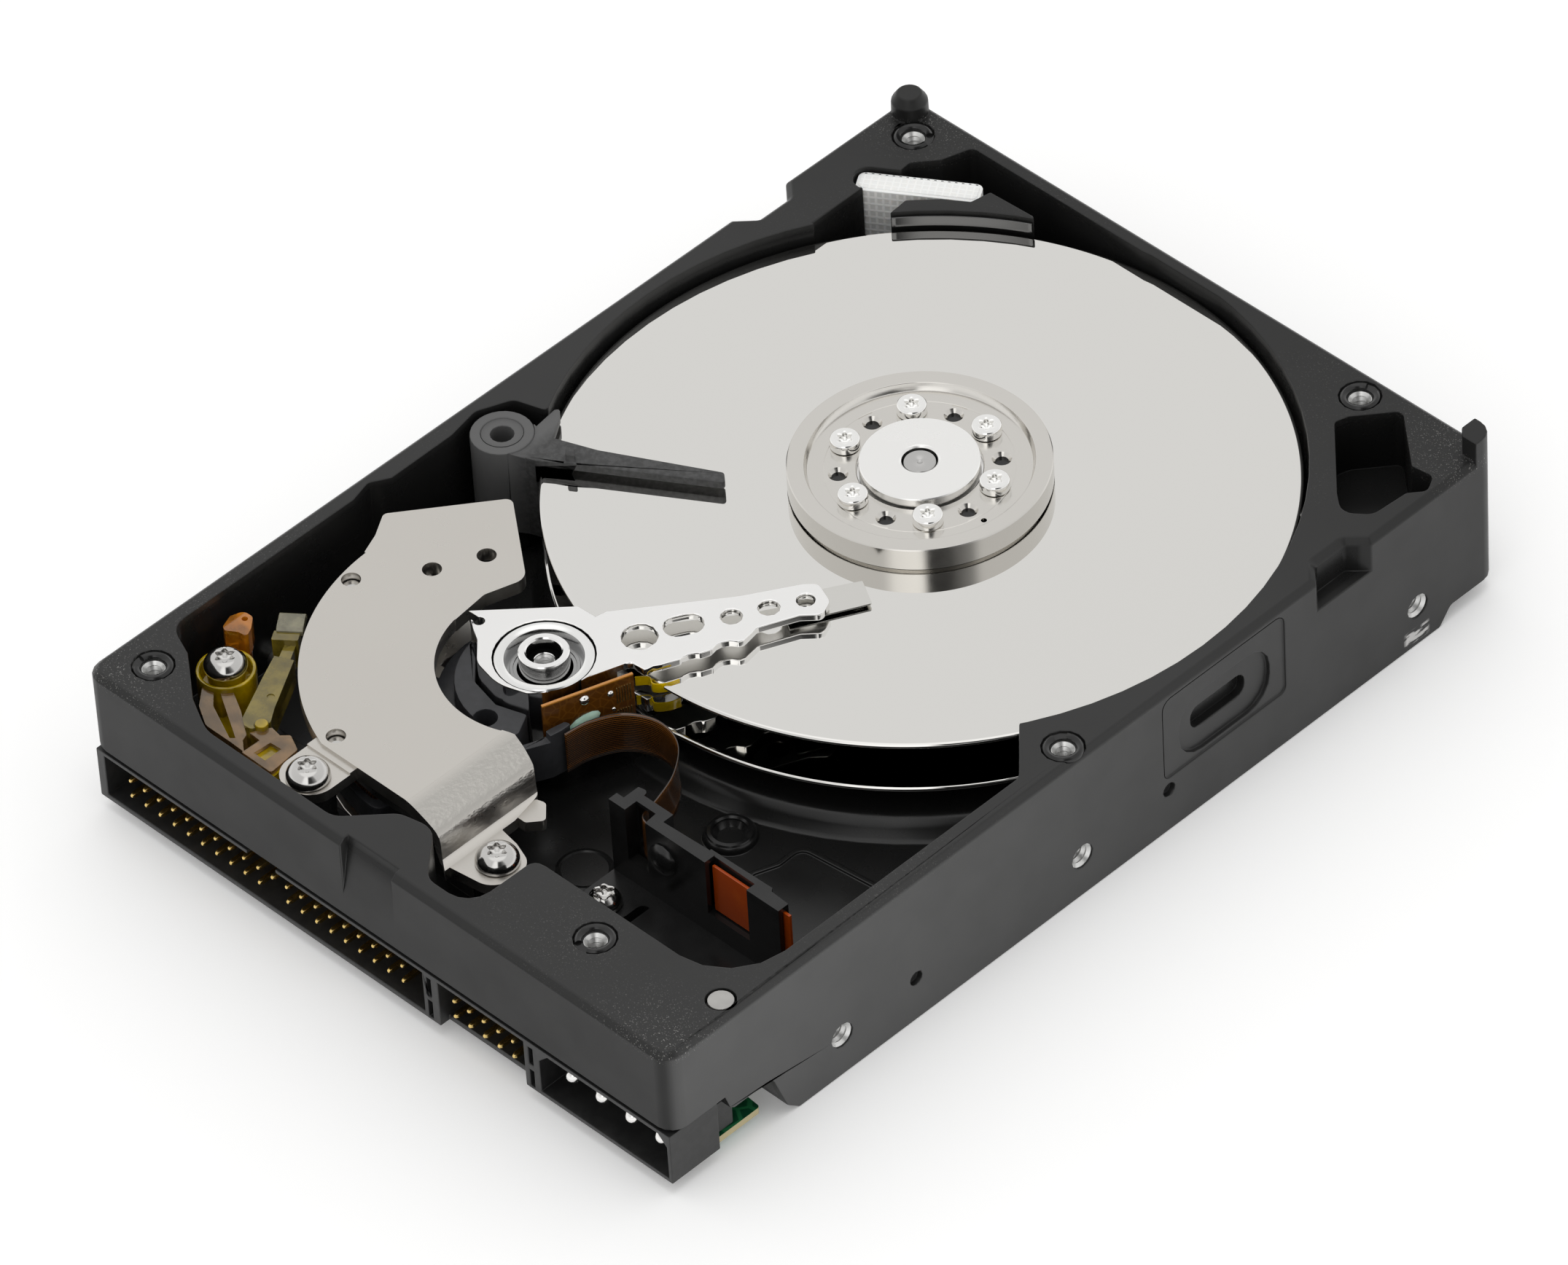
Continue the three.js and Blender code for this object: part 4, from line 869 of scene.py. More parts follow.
def hub_pieces():
    """What sits on the motor's axis: the cap, the fixed shaft, the spacer, the ring magnet and the hub."""
    cap = [(2.3, 22.4), (7.54, 22.4), (7.6, 22.46), (7.6, 24.22), (7.48, 24.35), (2.66, 24.35),
           (2.55, 24.3), (2.3, 24.08)]
    piece("hub_cap_turned", turned(cap, SPINDLE, 128), "cap", "rotor", ("hub_cap",), 0)
    shaft = [(0, 3.4), (1.95, 3.4), (2.05, 3.5), (2.05, 23.84), (1.98, 23.92), (0.5, 23.95), (0.36, 23.85),
             (0, 23.6)]
    piece("spindle_shaft_turned", turned(shaft, SPINDLE, 96), "shaft", "base", ("spindle_shaft",),
          0)
    spacer = [(12.7, 13.4), (16.0, 13.4), (16.3, 13.65), (16.3, 19.35), (16.0, 19.6), (12.7, 19.6)]
    piece("spacer_turned", turned(spacer, SPINDLE, 128), "clamp", "rotor", ("spacer_ring",), 0)
    magnet = [(11.8, 6.6), (13, 6.6), (13, 11.1), (11.8, 11.1)]
    piece("rotor_magnet_ring", turned(magnet, SPINDLE, 96), "magnet", "rotor", ("rotor_magnet",),
          0.1)
    lower = [
        (2.4, 11.4), (13.3, 11.4), (13.3, 6.3), (13.4, 6.2), (14.4, 6.2), (14.5, 6.3), (14.5, 9.5),
        (14.6, 9.6), (16.1, 9.6), (16.2, 9.7), (16.2, 12.3), (16.1, 12.4), (12.4, 12.4), (12.4, 22.2),
        (2.4, 22.2),
    ]
    holes = [cylinder(polar(SPINDLE, CLAMP_SCREW_CIRCLE, a), 1.15, 19.5, 23) for a in CLAMP_SCREW_ANGLES]
    piece("hub_turned", cut(turned(lower, SPINDLE, 128), *holes), "machined", "rotor", ("hub",),
          0)


def stator_pieces():
    """The motor's fixed part: a steel bushing plate and nine wound teeth."""
    plate = [(2.3, 3.4), (14.8, 3.4), (14.9, 3.5), (14.9, 5.3), (14.8, 5.4), (6, 5.4), (6, 6.2), (2.3, 6.2)]
    shape = turned(plate, SPINDLE, 96)
    core = turned([(5.4, 5.3), (6.6, 5.3), (6.6, 10.2), (5.4, 10.2)], SPINDLE, 64)
    piece("stator_core", join(shape, core), "steel", "base", ("spindle_stator",), 0.08)
    for tooth in range(9):
        angle = 40 * tooth
        winding = sector(SPINDLE, 6.9, 9.9, angle - 10, angle + 10, 6.4, 10.2, 8)
        tip = sector(SPINDLE, 10.1, 10.9, angle - 16, angle + 16, 6.9, 9.7, 10)
        piece(f"stator_winding_{tooth + 1}", winding, "stator_coil", "base", bevel=0.4)
        piece(f"stator_tip_{tooth + 1}", tip, "steel", "base", bevel=0.08)


disc("platter_lower", LOWER_DISC)
disc("platter_upper", UPPER_DISC)
disc_clamp()
hub_pieces()
stator_pieces()
for number, screw_angle in enumerate(CLAMP_SCREW_ANGLES, 1):
    screw(f"clamp_screw_{number}", polar(SPINDLE, CLAMP_SCREW_CIRCLE, screw_angle), 23.15, (1.92, 1.3),
          (0.95, 3.2), 1.02, "bright_screw", "rotor", CHEESE_HEAD)


# ------------------------------------------------------------------ magnet yoke
YOKE_FRONT_SCREW = (-17.5, -66)
YOKE_SIDE_SCREW = (6.8, -57.9)
YOKE_HOLES = ((-29.3, -24.3), (-32.5, -30.6))
YOKE_PEGS = ((-38.6, -38.6), (-19.7, -59.2))
LARGE_HEAD = (2.8, 2)        # radius and height of the head of the yoke's and latch's screws
# Section of the bent end of the upper plate, as (x, z): over the top, down to the tab, and back underneath.
YOKE_BEND = [
    (-5.4, 22), (-4.6, 21.98), (-3.8, 21.88), (-2.6, 21.62), (-1.2, 21.27), (-0.1, 20.92), (0.55, 20.55),
    (1, 20), (1.3, 19.1), (1.6, 18), (1.9, 17.35), (2.4, 17.06), (3.2, 17), (3.2, 15.4), (1.2, 15.4),
    (0.6, 15.8), (0.2, 17), (-0.2, 18.4), (-0.9, 19.2), (-2.2, 19.55), (-3.8, 19.85), (-5.4, 20),
]


def yoke_plate():
    """The pressed upper plate: its flat, the end that bends down to a screw tab, and a small hook."""
    ring = sector(PIVOT, 13.5, 30.2, 182, 296, YOKE_UPPER, YOKE_TOP, 110)
    back = [(-34.4, -14.9, 1), (-22.6, -24, 2), (-24.4, -29.5, 1), (-23.8, -35), (-41, -34),
            (-42.2, -31, 2), (-44.3, -27.6, 0.8)]
    trim = [(-23, -61.3), (-23, -80), (20, -80), (20, -30), (-5, -30), (-5, -61.3)]
    flat = cut(join(ring, prism(rounded(back), YOKE_UPPER, YOKE_TOP)), prism(trim, 0, 30))
    front = join(prism(rounded([(-21.6, -61), (-21.6, -69, 3.5), (-14, -69, 3.5), (-14, -61)]), 19.8, 21.3),
                 box((-21.6, -62.3, YOKE_UPPER), (-14, -59, 21.6)))
    end = [(-5.4, -44.9), (-3.8, -44.3), (-1.8, -44.8), (0.6, -45.6), (2.2, -46.6, 1), (3.3, -52),
           (3.3, -63.4), (1.2, -61.9), (-5.4, -61.3)]
    ramp = overlap(lengthways(YOKE_BEND, -64, -44), prism(rounded(end), 0, 30))
    tab = [(2.4, -52.6), (3.3, -53.7), (6.3, -54.2, 2), (10.2, -55.6, 2.5), (10.2, -61.6, 3), (2.4, -62.6)]
    hook = [(2.4, -47.2, 0.3), (3.8, -46.8, 0.8), (6, -49, 0.6), (4.4, -50.9, 0.6), (2.4, -50.9)]
    plate = join(flat, front, ramp, prism(rounded(tab), 15.4, 17), prism(rounded(hook), 15.4, 17))
    holes = [cylinder(YOKE_FRONT_SCREW, 1.6, 15, 23), cylinder(YOKE_SIDE_SCREW, 1.6, 12, 20)]
    holes += [cylinder(place, 1.25, 19, 23) for place in YOKE_HOLES + YOKE_PEGS]
    for index, place in enumerate(YOKE_PEGS):
        peg = [(0, 19.85), (1.1, 19.85), (1.1, 20.9), (0.8, 21.1), (0, 21.1)]
        piece(f"yoke_peg_{index + 1}", turned(peg, place, 32), "screw", "base", bevel=0)
    piece("yoke_plate_pressed", cut(plate, *holes), "yoke", "base", ("yoke_upper_plate",), 0.18)


yoke_plate()
dress("yoke_lower_plate", "yoke", 0.22)
dress("magnet_upper", "magnet", 0.25)
dress("magnet_lower", "magnet", 0.25)
dress("yoke_post", "screw", 0.15)
screw("yoke_screw_front", YOKE_FRONT_SCREW, 21.4, LARGE_HEAD, (1.2, 6), 1.3)
screw("yoke_screw_side", YOKE_SIDE_SCREW, 17.1, LARGE_HEAD, (1.2, 5), 1.3)


# ------------------------------------------------------------------ actuator


def pivot_pieces():
    """The bearing cartridge: its outer sleeve, dust shield and fixed shaft."""
    sleeve = [
        (3.5, 9.8), (6.1, 9.8), (6.2, 9.9), (6.2, 22.36), (6.04, 22.5), (5.14, 22.42), (5.0, 22.3),
        (4.93, 20.6), (4.4, 20.6), (4.34, 20.72), (3.96, 20.72), (3.9, 20.6), (3.5, 20.6),
    ]
    piece("pivot_sleeve_turned", turned(sleeve, PIVOT, 128), "bearing", "actuator", ("pivot_sleeve",),
          0)
    shaft = [
        (0, 7.5), (3.1, 7.5), (3.2, 7.6), (3.2, 23.26), (3.06, 23.4), (2.4, 23.4), (2.22, 23.2),
        (2.2, 21.8), (1.4, 21.8), (1.3, 21.7), (1.3, 17.1), (0, 17.1),
    ]
    piece("pivot_shaft_turned", turned(shaft, PIVOT, 96), "machined", "base", ("pivot_shaft",), 0)
    piece("pivot_thread", turned(thread_profile(1.27, 17.3, 21.6, 0.5, 0.18), PIVOT, 32), "thread", "base",
          bevel=0)
    # A near-black ring lining the floor and wall of the shaft's top recess: painted shade.
    recess = [(1.35, 21.82), (2.17, 21.82), (2.17, 22.5), (2.1, 22.5), (2.05, 21.88), (1.35, 21.88)]
    piece("pivot_recess_painted_shade", turned(recess, PIVOT, 48), "painted_shade", "base", bevel=0)


def spline(route, steps):
    """Evenly many points per span along a smooth curve through the route."""
    ends = [Vector(route[0]) * 2 - Vector(route[1])] + [Vector(p) for p in route]
    ends.append(Vector(route[-1]) * 2 - Vector(route[-2]))
    points = []
    for span in range(len(route) - 1):
        p0, p1, p2, p3 = ends[span:span + 4]
        for step in range(steps):
            t = step / steps
            points.append(0.5 * (2 * p1 + (p2 - p0) * t + (2 * p0 - 5 * p1 + 4 * p2 - p3) * t * t
                                 + (3 * p1 - p0 - 3 * p2 + p3) * t ** 3))
    points.append(Vector(route[-1]))
    return points


def strip(route, thickness, low, high):
    """A thin band that stands on edge along a smooth route."""
    points = spline(route, 6)
    sides = ([], [])
    for index, point in enumerate(points):
        ahead = points[min(index + 1, len(points) - 1)] - points[max(index - 1, 0)]
        across = Vector((-ahead.y, ahead.x)).normalized() * (thickness / 2)
        sides[0].append(tuple(point + across))
        sides[1].append(tuple(point - across))
    return prism(sides[0] + sides[1][::-1], low, high)


def upright_frame(start, end, offset):
    """A function from (along, up, out) on a standing board, all in millimetres, to a point in space."""
    first = Vector(start)
    line = (Vector(end) - first).normalized()
    right = Vector((-line.y, line.x))

    def at(along, up, out):
        spot = first + line * along + right * (offset + out)
        return (spot.x, spot.y, up)

    return at


# The foot line of the preamp's board, from its end by the discs to its end by the ribbon.
BOARD_NEAR = (-1.3, -27.0)
BOARD_FAR = (-5.4, -38.6)
BOARD_LENGTH = (Vector(BOARD_FAR) - Vector(BOARD_NEAR)).length
BOARD_THICKNESS = 0.42
board_point = upright_frame(BOARD_NEAR, BOARD_FAR, 0.5)

# Solder joints as (along the board, height, radius).
SOLDER_JOINTS = ((6.7, 20.8, 0.7), (3.2, 20.3, 0.45), (11, 17.4, 0.42), (9.2, 16.9, 0.3), (9.9, 16.6, 0.3),
                 (2.9, 17.6, 0.3))
BOARD_TAIL = ((-1.0, -26.6), (0.2, -25.4), (1.5, -25.9), (2.7, -24.7), (3.3, -23.2))


def slab(point_at, along, up, out):
    """A box on a standing board, from its ranges along, up and out."""
    corners = [point_at(along[i], 0, out[j])[:2] for i, j in ((0, 0), (0, 1), (1, 1), (1, 0))]
    return prism(corners, up[0], up[1])


def dome(point_at, along, up, out, radius, height):
    """A low dome standing off a board: a joint of solder."""
    sides = 12
    points = [point_at(along, up, out + height)]
    faces = []
    levels = ((0.55, 0.8), (0.88, 0.45), (1.0, 0.0))
    for reach, lift in levels:
        for i in range(sides):
            angle = 2 * math.pi * i / sides
            points.append(point_at(along + radius * reach * math.cos(angle),
                                   up + radius * reach * math.sin(angle), out + height * lift))
    for i in range(sides):
        faces.append([0, 1 + i, 1 + (i + 1) % sides])
    for level in range(len(levels) - 1):
        start = 1 + level * sides
        for i in range(sides):
            j = (i + 1) % sides
            faces.append([start + i, start + sides + i, start + sides + j, start + j])
    last = 1 + (len(levels) - 1) * sides
    faces.append([last + i for i in range(sides)])
    shape = solid(points, faces)
    shape.data.validate()
    return shape


def preamp_chip():
    """The chip under its drop of resin: a dome stretched along the board and leaning down at one end."""
    place, height = 6.9, 17.3
    chip = dome(board_point, 0, 0, 0.4, 1, 1)
    centre = Vector(board_point(place, height, 0.4))
    along = Vector(board_point(place + 1, height, 0.4)) - centre
    out = Vector(board_point(place, height, 1.4)) - centre
    lean = along + Vector((0, 0, -0.22))
    turn = Matrix((lean * 2.2, Vector((0, 0, 1.15)), out * 0.75)).transposed()
    start = Vector(board_point(0, 0, 0.4))
    basis = Matrix((along, Vector((0, 0, 1)), out))
    chip.data.transform(Matrix.Translation(-start))
    chip.data.transform(basis.to_4x4())
    chip.data.transform(Matrix.Translation(centre) @ turn.to_4x4())
    piece("preamp_chip_resin", chip, "resin", "actuator", ("preamp_chip",), 0)


def preamp_pieces():
    """The amber board on the carriage's side: its film, chip, soldered joints, gold fingers and tails."""
    board = slab(board_point, (0, BOARD_LENGTH), (13.4, 22.2), (0, BOARD_THICKNESS))
    piece("preamp_board_film", board, "board_film", "actuator", ("preamp_board",), 0.06)
    preamp_chip()
    for index, (place, up, radius) in enumerate(SOLDER_JOINTS):
        blob = dome(board_point, place, up, BOARD_THICKNESS, radius, radius * 0.75)
        piece(f"solder_joint_{index + 1}", blob, "solder", "actuator", bevel=0)
    for index in range(12):
        place = 0.5 + 0.36 * (index % 6)
        low = 18.3 if index < 6 else 14.6
        finger = slab(board_point, (place, place + 0.16), (low, low + 2.6), (BOARD_THICKNESS, 0.48))
        piece(f"board_finger_{index + 1}", finger, "gold", "actuator", bevel=0.02)
    for index, low in enumerate((19.4, 16.2)):
        tail = strip(BOARD_TAIL, 0.14, low, low + 1.4)
        piece(f"board_tail_{index + 1}", tail, "amber_clear", "actuator", bevel=0)


dress("carriage", "machined", 0.22)
dress("coil", "coil", 0.4)
dress("coil_frame", "coil_plastic", 0.25)
for number in range(1, 5):
    dress(f"head_{number}", "spring", 0.04)
dress("flex_clamp", "coil_plastic", 0.15)
pivot_pieces()
preamp_pieces()


# ------------------------------------------------------------------ ribbon and bracket
RIBBON_ROUTE = ((-1.6, -38.2), (-0.9, -34.6), (1.3, -30.9), (5.3, -29.1), (9.7, -30.3), (13, -34.2),
                (14.7, -38.6), (15.5, -41.8), (17.2, -42.6))
RIBBON_LOW = 12.6
RIBBON_HIGH = 19.1
RIBBON_THICKNESS = 0.12
RIBBON_CUP = 0.22            # how far the film's edges stand out from its middle
BRACKET_SCREW = (14.8, -48.3)


def ribbon():
    """The film that loops from the carriage to the bracket, standing on edge and a little cupped."""
    points = spline(RIBBON_ROUTE, 14)
    count = len(points)
    levels = 10
    vertices = []
    for side in (-1, 1):
        for index, point in enumerate(points):
            ahead = points[min(index + 1, count - 1)] - points[max(index - 1, 0)]
            normal = Vector((-ahead.y, ahead.x)).normalized()
            loose = math.sin(math.pi * index / (count - 1))
            for level in range(levels + 1):
                share = level / levels
                cup = RIBBON_CUP * loose * (2 * share - 1) ** 2
                spot = point + normal * (RIBBON_THICKNESS / 2 * side + cup)
                vertices.append((spot.x, spot.y, RIBBON_LOW + (RIBBON_HIGH - RIBBON_LOW) * share))
    width = levels + 1
    other = count * width
    faces = []
    for index in range(count - 1):
        for level in range(levels):
            a = index * width + level
            faces.append([a, a + width, a + width + 1, a + 1])
            faces.append([other + a, other + a + 1, other + a + width + 1, other + a + width])
        low = index * width
        high = low + levels
        faces.append([low, other + low, other + low + width, low + width])
        faces.append([high, high + width, other + high + width, other + high])
    for index in (0, count - 1):
        for level in range(levels):
            a = index * width + level
            quad = [a, a + 1, other + a + 1, other + a]
            faces.append(quad if index == 0 else list(reversed(quad)))
    shape = solid(vertices, faces)
    name_and_scale(shape, "ribbon_film", "ribbon")
    for polygon in shape.data.polygons:
        polygon.use_smooth = True
    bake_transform(shape)
    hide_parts("flex_ribbon")


ribbon()
dress("flex_bracket", "bracket_plastic", 0)
dress("flex_tail", "film", 0.04)
screw("bracket_screw", BRACKET_SCREW, 8.3, (2.2, 1.9), (1.1, 2.4), 1.3)


# ------------------------------------------------------------------ latch, comb and filter
LATCH_SCREW = (-41.6, -57.4)
LATCH_PIVOT = (-31.2, -61.2)
COMB_SCREW = (-43.6, -7.7)


def latch_cup():
    """The latch's clear base: the cup around its screw and three blocks beside it."""
    cup = [(2.4, 15.4), (2.4, 12.3), (3.8, 12.3), (3.8, 18), (3.68, 18.2), (3.36, 18.2), (3.24, 18.05),
           (3.2, 15.6)]
    seat = [(1.5, 12.3), (2.4, 12.3), (2.4, 18.3), (2.3, 18.4), (1.5, 18.4)]
    cup_body = join(turned(cup, LATCH_SCREW, 72), turned(seat, LATCH_SCREW, 48))
    low_block = [(-33, -66), (-33, -60, 0.5), (-29.4, -59.6, 0.5), (-27, -66)]
    tall_block = [(-29.9, -65.9), (-29.9, -63.2), (-27.5, -60, 0.4), (-25, -61, 0.4), (-24.2, -66, 0.4)]
    foot = [(-42.5, -60.4), (-39.4, -64), (-36.3, -65.6), (-31.8, -65.6), (-32.6, -63), (-39.8, -58.6)]
    blocks = [prism(rounded(low_block), 12.3, 13.2), prism(rounded(tall_block), 12.4, 16.9),
              prism(rounded(foot), 12.4, 13.4)]
    piece("latch_cup", join(cup_body, *blocks), "amber_clear", "base", ("latch_base",),
          0.1)


def latch_fork():
    """The milky fork around the cup, with a long slit."""
    fork = [(-43.6, -59.7, 0.3), (-42.3, -60.7), (-39.7, -63.8), (-36.6, -65.6, 2), (-32.2, -65.6),
            (-29.6, -65.7), (-31.2, -64.4), (-31.6, -63.4), (-35.1, -61, 0.6), (-38.8, -59), (-40.3, -56.3)]
    slit = [(-40.2, -60.8), (-39.7, -60.3, 0.3), (-32.2, -64.7), (-32.7, -65.2), (-38.4, -62.6, 0.5)]
    body = cut(prism(rounded(fork), 13.5, 17.6), cylinder(LATCH_SCREW, 3.82, 10, 20, 72),
               prism(rounded(slit), 10, 20))
    piece("latch_fork", body, "amber_milky", "base", bevel=0.12)


def latch_cover():
    """The milky cover over the tall block, with a square window."""
    plate = [(-29.8, -65.9), (-29.7, -63), (-31.6, -62.9), (-31, -61.6), (-30.2, -60.4), (-28.5, -60.7),
             (-27.5, -59.8, 0.4), (-25, -61, 0.4), (-24.5, -66, 0.4)]
    window = [(-28.6, -65), (-28.4, -62.4), (-26.6, -62.3), (-26.6, -65)]
    cover = cut(prism(rounded(plate), 17, 17.6), prism(rounded(window), 10, 20))
    piece("latch_cover", cover, "amber_milky", "base", bevel=0.1)


def latch_lever():
    """The swinging lever with its paler curled tip, and the fixed pin that it turns on."""
    lever = [(-33.8, -62, 0.8), (-32.7, -62.7), (-31.6, -62.6, 0.5), (-30.6, -60.3, 0.8), (-32.1, -58.2),
             (-36.6, -50.6), (-39, -51.7), (-37.2, -55.4)]
    arm = cut(prism(rounded(lever), 14, 18), cylinder(LATCH_PIVOT, 0.95, 10, 20),
              cylinder((-34, -57), 0.5, 17.8, 20, 24))
    neck = prism([(-38.6, -51.4), (-37.2, -50.8), (-38.9, -48), (-40.1, -48.7)], 14.4, 17.6)
    block = [(-41, -50.3, 0.2), (-38.4, -48.2, 0.2), (-39.4, -46.7, 0.2), (-41.9, -48.9, 0.2)]
    body = join(arm, neck, prism(rounded(block), 14, 18.5))
    piece("latch_lever_arm", body, "olive", "latch", ("latch_lever",), 0.12)
    curl = lengthways([(-1.6, 0), (1.6, 0), (1.7, 0.8), (1.2, 1.25), (-1.2, 1.25), (-1.7, 0.8)], -1.7, 1.7)
    turn = Matrix.Translation((-41.2, -46.6, 17.9)) @ Matrix.Rotation(math.radians(-52), 4, "Z")
    curl.data.transform(turn)
    piece("latch_lever_tip", curl, "olive_pale", "latch", bevel=0.15)
    pin = turned([(0, 12.5), (0.88, 12.5), (0.88, 18.1), (0.78, 18.25), (0, 18.3)], LATCH_PIVOT, 32)
    piece("latch_pin", pin, "amber_clear", "base", bevel=0)


def latch_bumper():
    """The orange bumper: a heart-shaped head on a thinner stem."""
    heart = [(-45.9, -53.7, 0.5), (-46.6, -51.8), (-46, -50, 1), (-44.4, -50, 0.8), (-43.1, -51.5, 0.4),
             (-42.4, -52.9, 0.4), (-43.8, -53.1, 0.3), (-45.2, -54, 0.3)]
    stem = [(-45.6, -53, 0.6), (-46.2, -51.6, 0.6), (-45.4, -50.2, 0.6), (-43.6, -51.2, 0.6),
            (-43.4, -52.6, 0.6)]
    head = cut(prism(rounded(heart), 16.5, 20), cylinder((-44.9, -50.9), 0.4, 19, 21, 24))
    body = join(head, prism(rounded(stem), 9.9, 17))
    piece("latch_bumper_heart", body, "orange", "base", ("latch_bumper",), 0.15)


def filter_pouch():
    """The filter: a woven pouch with a low border round its top, and dark stitches along one edge."""
    cosine, sine = (f(math.radians(FILTER_ANGLE)) for f in (math.cos, math.sin))

    def placed(outline):
        return [(FILTER_PLACE[0] + x * cosine - y * sine, FILTER_PLACE[1] + x * sine + y * cosine)
                for x, y in outline]

    def bar(length, width, radius):
        half, side = length / 2, width / 2
        corners = [(-half, -side, radius), (half, -side, radius), (half, side, radius),
                   (-half, side, radius)]
        return placed(rounded(corners, 6))

    pouch = join(prism(bar(16.2, 3.5, 1), 8.6, 22.3), prism(bar(15.4, 2.7, 0.7), 22.2, 22.45))
    piece("filter_pouch", pouch, "filter", "base", ("air_filter",), 0.12)
    for index in range(17):
        x = -7.2 + 0.9 * index
        stitch = [(x - 0.16, 1.42), (x + 0.16, 1.42), (x + 0.16, 1.58), (x - 0.16, 1.58)]
        shape = prism(placed(stitch), 22.2, 22.34)
        piece(f"filter_stitch_{index + 1}", shape, "black_plastic", "base", bevel=0.02)


def wedge_face():
    """The glossy moulded face of the air wedge, just outside the disc's rim."""
    face = sector(SPINDLE, 47.78, 48.12, 117.2, 138.8, 20.75, 22.35, 30)
    piece("air_wedge_face", face, "wedge_gloss", "base", bevel=0.12)

latch_cup()
latch_fork()
latch_cover()
latch_lever()
latch_bumper()
dress("disc_comb", "comb", 0.22)
screw("latch_screw", LATCH_SCREW, 18.5, LARGE_HEAD, (1.2, 8), 1.3)
screw("comb_screw", COMB_SCREW, 18.2, (1.25, 1.3), (1.1, 9), 0.7)
filter_pouch()
wedge_face()


# ------------------------------------------------------------------ connectors and board
PIN_PITCH = 2.54
PIN_ROWS = (4.75, 7.29)      # heights of the two rows of square pins
PIN_HALF = 0.32              # half a square pin's width
PIN_TIP = -71.9
PIN_ROOT = -65.3
IDE_FIRST_X = -44.72
IDE_COLUMNS = 20
IDE_MISSING = 10             # the column whose lower pin is left out as the key
JUMPER_FIRST_X = 12.6
JUMPER_COLUMNS = 5
POWER_FIRST_X = 31.55
POWER_PITCH = 5.08
POWER_HEIGHT = 6.3


def square_pin(x, z):
    """A square pin along Y with a four-sided tapered tip."""
    taper = 0.55
    small = PIN_HALF * 0.45
    points = []
    for y, reach in ((PIN_TIP, small), (PIN_TIP + taper, PIN_HALF), (PIN_ROOT, PIN_HALF)):
        points += [(x - reach, y, z - reach), (x + reach, y, z - reach), (x + reach, y, z + reach),
                   (x - reach, y, z + reach)]
    faces = [[0, 1, 2, 3], [11, 10, 9, 8]]
    for level in (0, 4):
        for i in range(4):
            j = (i + 1) % 4
            faces.append([level + i, level + 4 + i, level + 4 + j, level + j])
    return points, faces


def pin_block(name, node, first_x, columns, missing=None):
    """Two rows of gold pins as one piece."""
    points, faces = [], []
    for column in range(columns):
        for row, z in enumerate(PIN_ROWS):
            if row == 0 and column == missing:
                continue
            pin_points, pin_faces = square_pin(first_x + PIN_PITCH * column, z)
            offset = len(points)
            points += pin_points
            faces += [[offset + i for i in face] for face in pin_faces]
    piece(name, solid(points, faces), "gold", "base", (node,), 0.04)


def power_pin(number):
    """A round pin along Y with a bullet tip."""
    profile = [(0, 0), (1.02, 0), (1.05, 0.1), (1.05, 5.1), (0.98, 5.5), (0.78, 5.9), (0.5, 6.15),
               (0.25, 6.26), (0, 6.3)]
    shape = turned(profile, (0, 0), 48, closed=False)
    x = POWER_FIRST_X + POWER_PITCH * (number - 1)
    turn = Matrix.Rotation(math.radians(90), 4, "X")
    shape.data.transform(Matrix.Translation((x, -64.9, POWER_HEIGHT)) @ turn)
    piece(f"power_pin_{number}_round", shape, "solder", "base", (f"power_pin_{number}",), 0)


dress("connector_block", "connector", 0.15)
pin_block("ide_pins_gold", "ide_pins", IDE_FIRST_X, IDE_COLUMNS, IDE_MISSING)
pin_block("jumper_pins_gold", "jumper_pins", JUMPER_FIRST_X, JUMPER_COLUMNS)
for number in range(1, 5):
    power_pin(number)
dress("circuit_board", "board", 0.05)
dress("controller_chip", "black_plastic", 0.1)
for number in range(1, 4):
    dress(f"board_screw_{number}", "screw", 0.05)


# ------------------------------------------------------------------ floor and light


def studio_floor():
    half = 6
    mesh = bpy.data.meshes.new("floor")
    mesh.from_pydata([(-half, -half, 0), (half, -half, 0), (half, half, 0), (-half, half, 0)], [],
                     [(0, 1, 2, 3)])
    floor = bpy.data.objects.new("floor", mesh)
    bpy.context.scene.collection.objects.link(floor)
    made = Material("floor_white", grey(0.94), 0.8, Emission_Strength=0.16)
    made.shader.inputs["Emission Color"].default_value = (1, 1, 1, 1)
    made.colour(made.noise(2), grey(0.938), grey(0.942))
    mesh.materials.append(made.data)


# The studio's walls at middle heights: bearing in degrees from +X, and brightness there.
WALL_PANELS = ((-180, 0.84), (-80, 0.76), (-70, 1.2), (-46, 1.35), (-41, 0.03), (-22, 0.05), (-8, 0.22),
               (-2, 0.3), (6, 0.76), (180, 0.84))
WALL_LOW = 0.34         # the sines of the heights where the wall panels begin and end
WALL_HIGH = 0.9


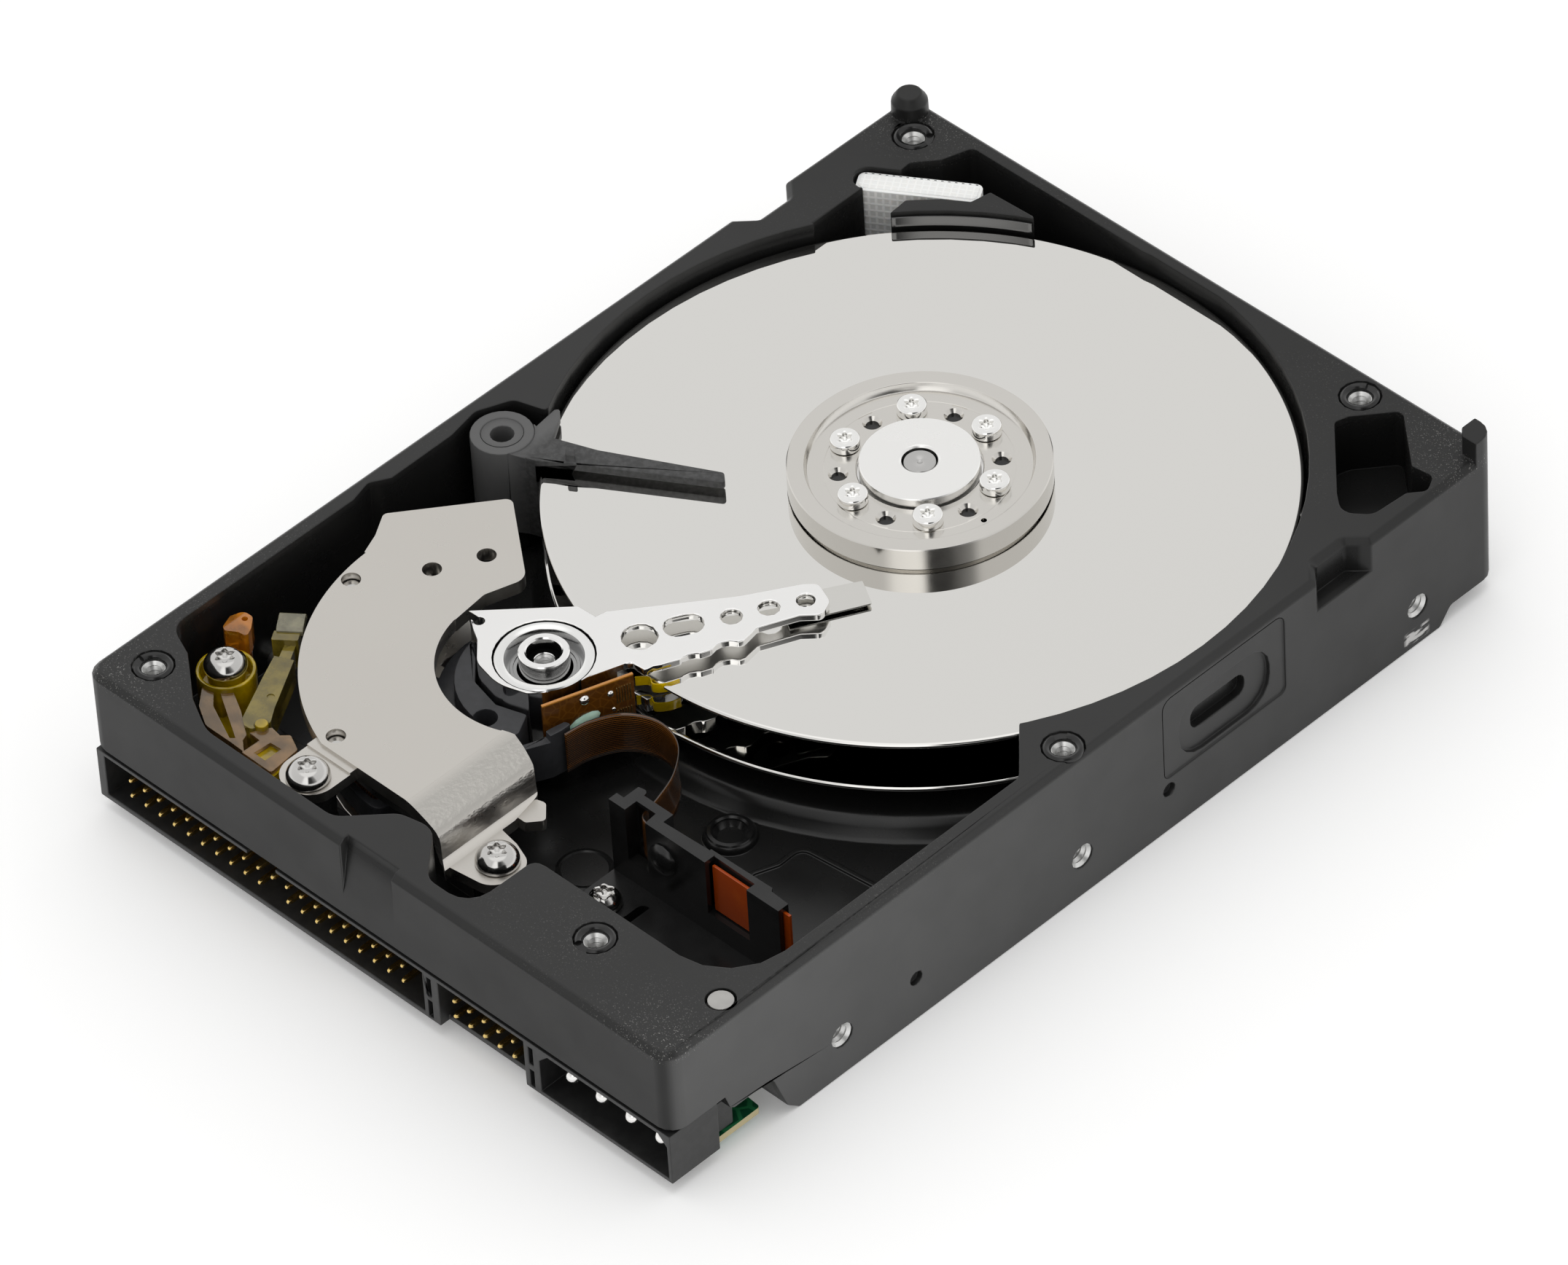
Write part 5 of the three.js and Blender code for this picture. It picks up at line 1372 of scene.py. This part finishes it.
def studio_sky():
    """White all round, with a bright panel and a dark one on the walls for the metal to mirror."""
    world = bpy.data.worlds.new("studio")
    world.use_nodes = True
    nodes = world.node_tree.nodes
    links = world.node_tree.links

    def ranged(value, low, high, out_low, out_high):
        made = nodes.new("ShaderNodeMapRange")
        for name, number in (("From Min", low), ("From Max", high), ("To Min", out_low),
                             ("To Max", out_high)):
            made.inputs[name].default_value = number
        links.new(value, made.inputs["Value"])
        return made.outputs["Result"]

    def calculated(operation, first, second):
        made = nodes.new("ShaderNodeMath")
        made.operation = operation
        for socket, value in zip(made.inputs, (first, second)):
            if isinstance(value, float):
                socket.default_value = value
            else:
                links.new(value, socket)
        return made.outputs["Value"]

    split = nodes.new("ShaderNodeSeparateXYZ")
    links.new(nodes.new("ShaderNodeTexCoord").outputs["Generated"], split.inputs[0])
    bearing = calculated("ARCTAN2", split.outputs["Y"], split.outputs["X"])
    panels = nodes.new("ShaderNodeValToRGB")
    links.new(ranged(bearing, -math.pi, math.pi, 0, 1), panels.inputs["Fac"])
    stops = panels.color_ramp.elements
    for index, (degrees, value) in enumerate(WALL_PANELS):
        place = (degrees + 180) / 360
        stop = stops[0] if index == 0 else stops.new(place) if index < len(WALL_PANELS) - 1 else stops[-1]
        stop.position = place
        stop.color = (value, value, value, 1)
    height = split.outputs["Z"]
    rise = ranged(height, WALL_LOW - 0.06, WALL_LOW + 0.06, 0, 1)
    fall = ranged(height, WALL_HIGH + 0.03, WALL_HIGH - 0.03, 0, 1)
    share = calculated("MULTIPLY", rise, fall)
    around = ranged(height, 0.3, 0.9, 0.95, 1.1)
    difference = calculated("SUBTRACT", panels.outputs["Color"], around)
    brightness = calculated("ADD", around, calculated("MULTIPLY", share, difference))
    links.new(brightness, nodes["Background"].inputs["Strength"])
    nodes["Background"].inputs["Color"].default_value = (1, 0.997, 0.99, 1)
    bpy.context.scene.world = world


def overhead_lamp():
    """A soft square lamp above, which polished faces don't mirror."""
    place = Vector((0.1, -0.1, 1.6))
    data = bpy.data.lights.new("overhead", "AREA")
    data.shape = "RECTANGLE"
    data.size = 0.7
    data.size_y = 0.7
    data.energy = 3.5
    lamp = bpy.data.objects.new("overhead", data)
    lamp.location = place
    lamp.rotation_euler = (-place).to_track_quat("-Z", "Y").to_euler()
    lamp.visible_glossy = False
    bpy.context.scene.collection.objects.link(lamp)


studio_floor()
studio_sky()
overhead_lamp()
make_camera()
bpy.context.scene.view_settings.view_transform = "Standard"
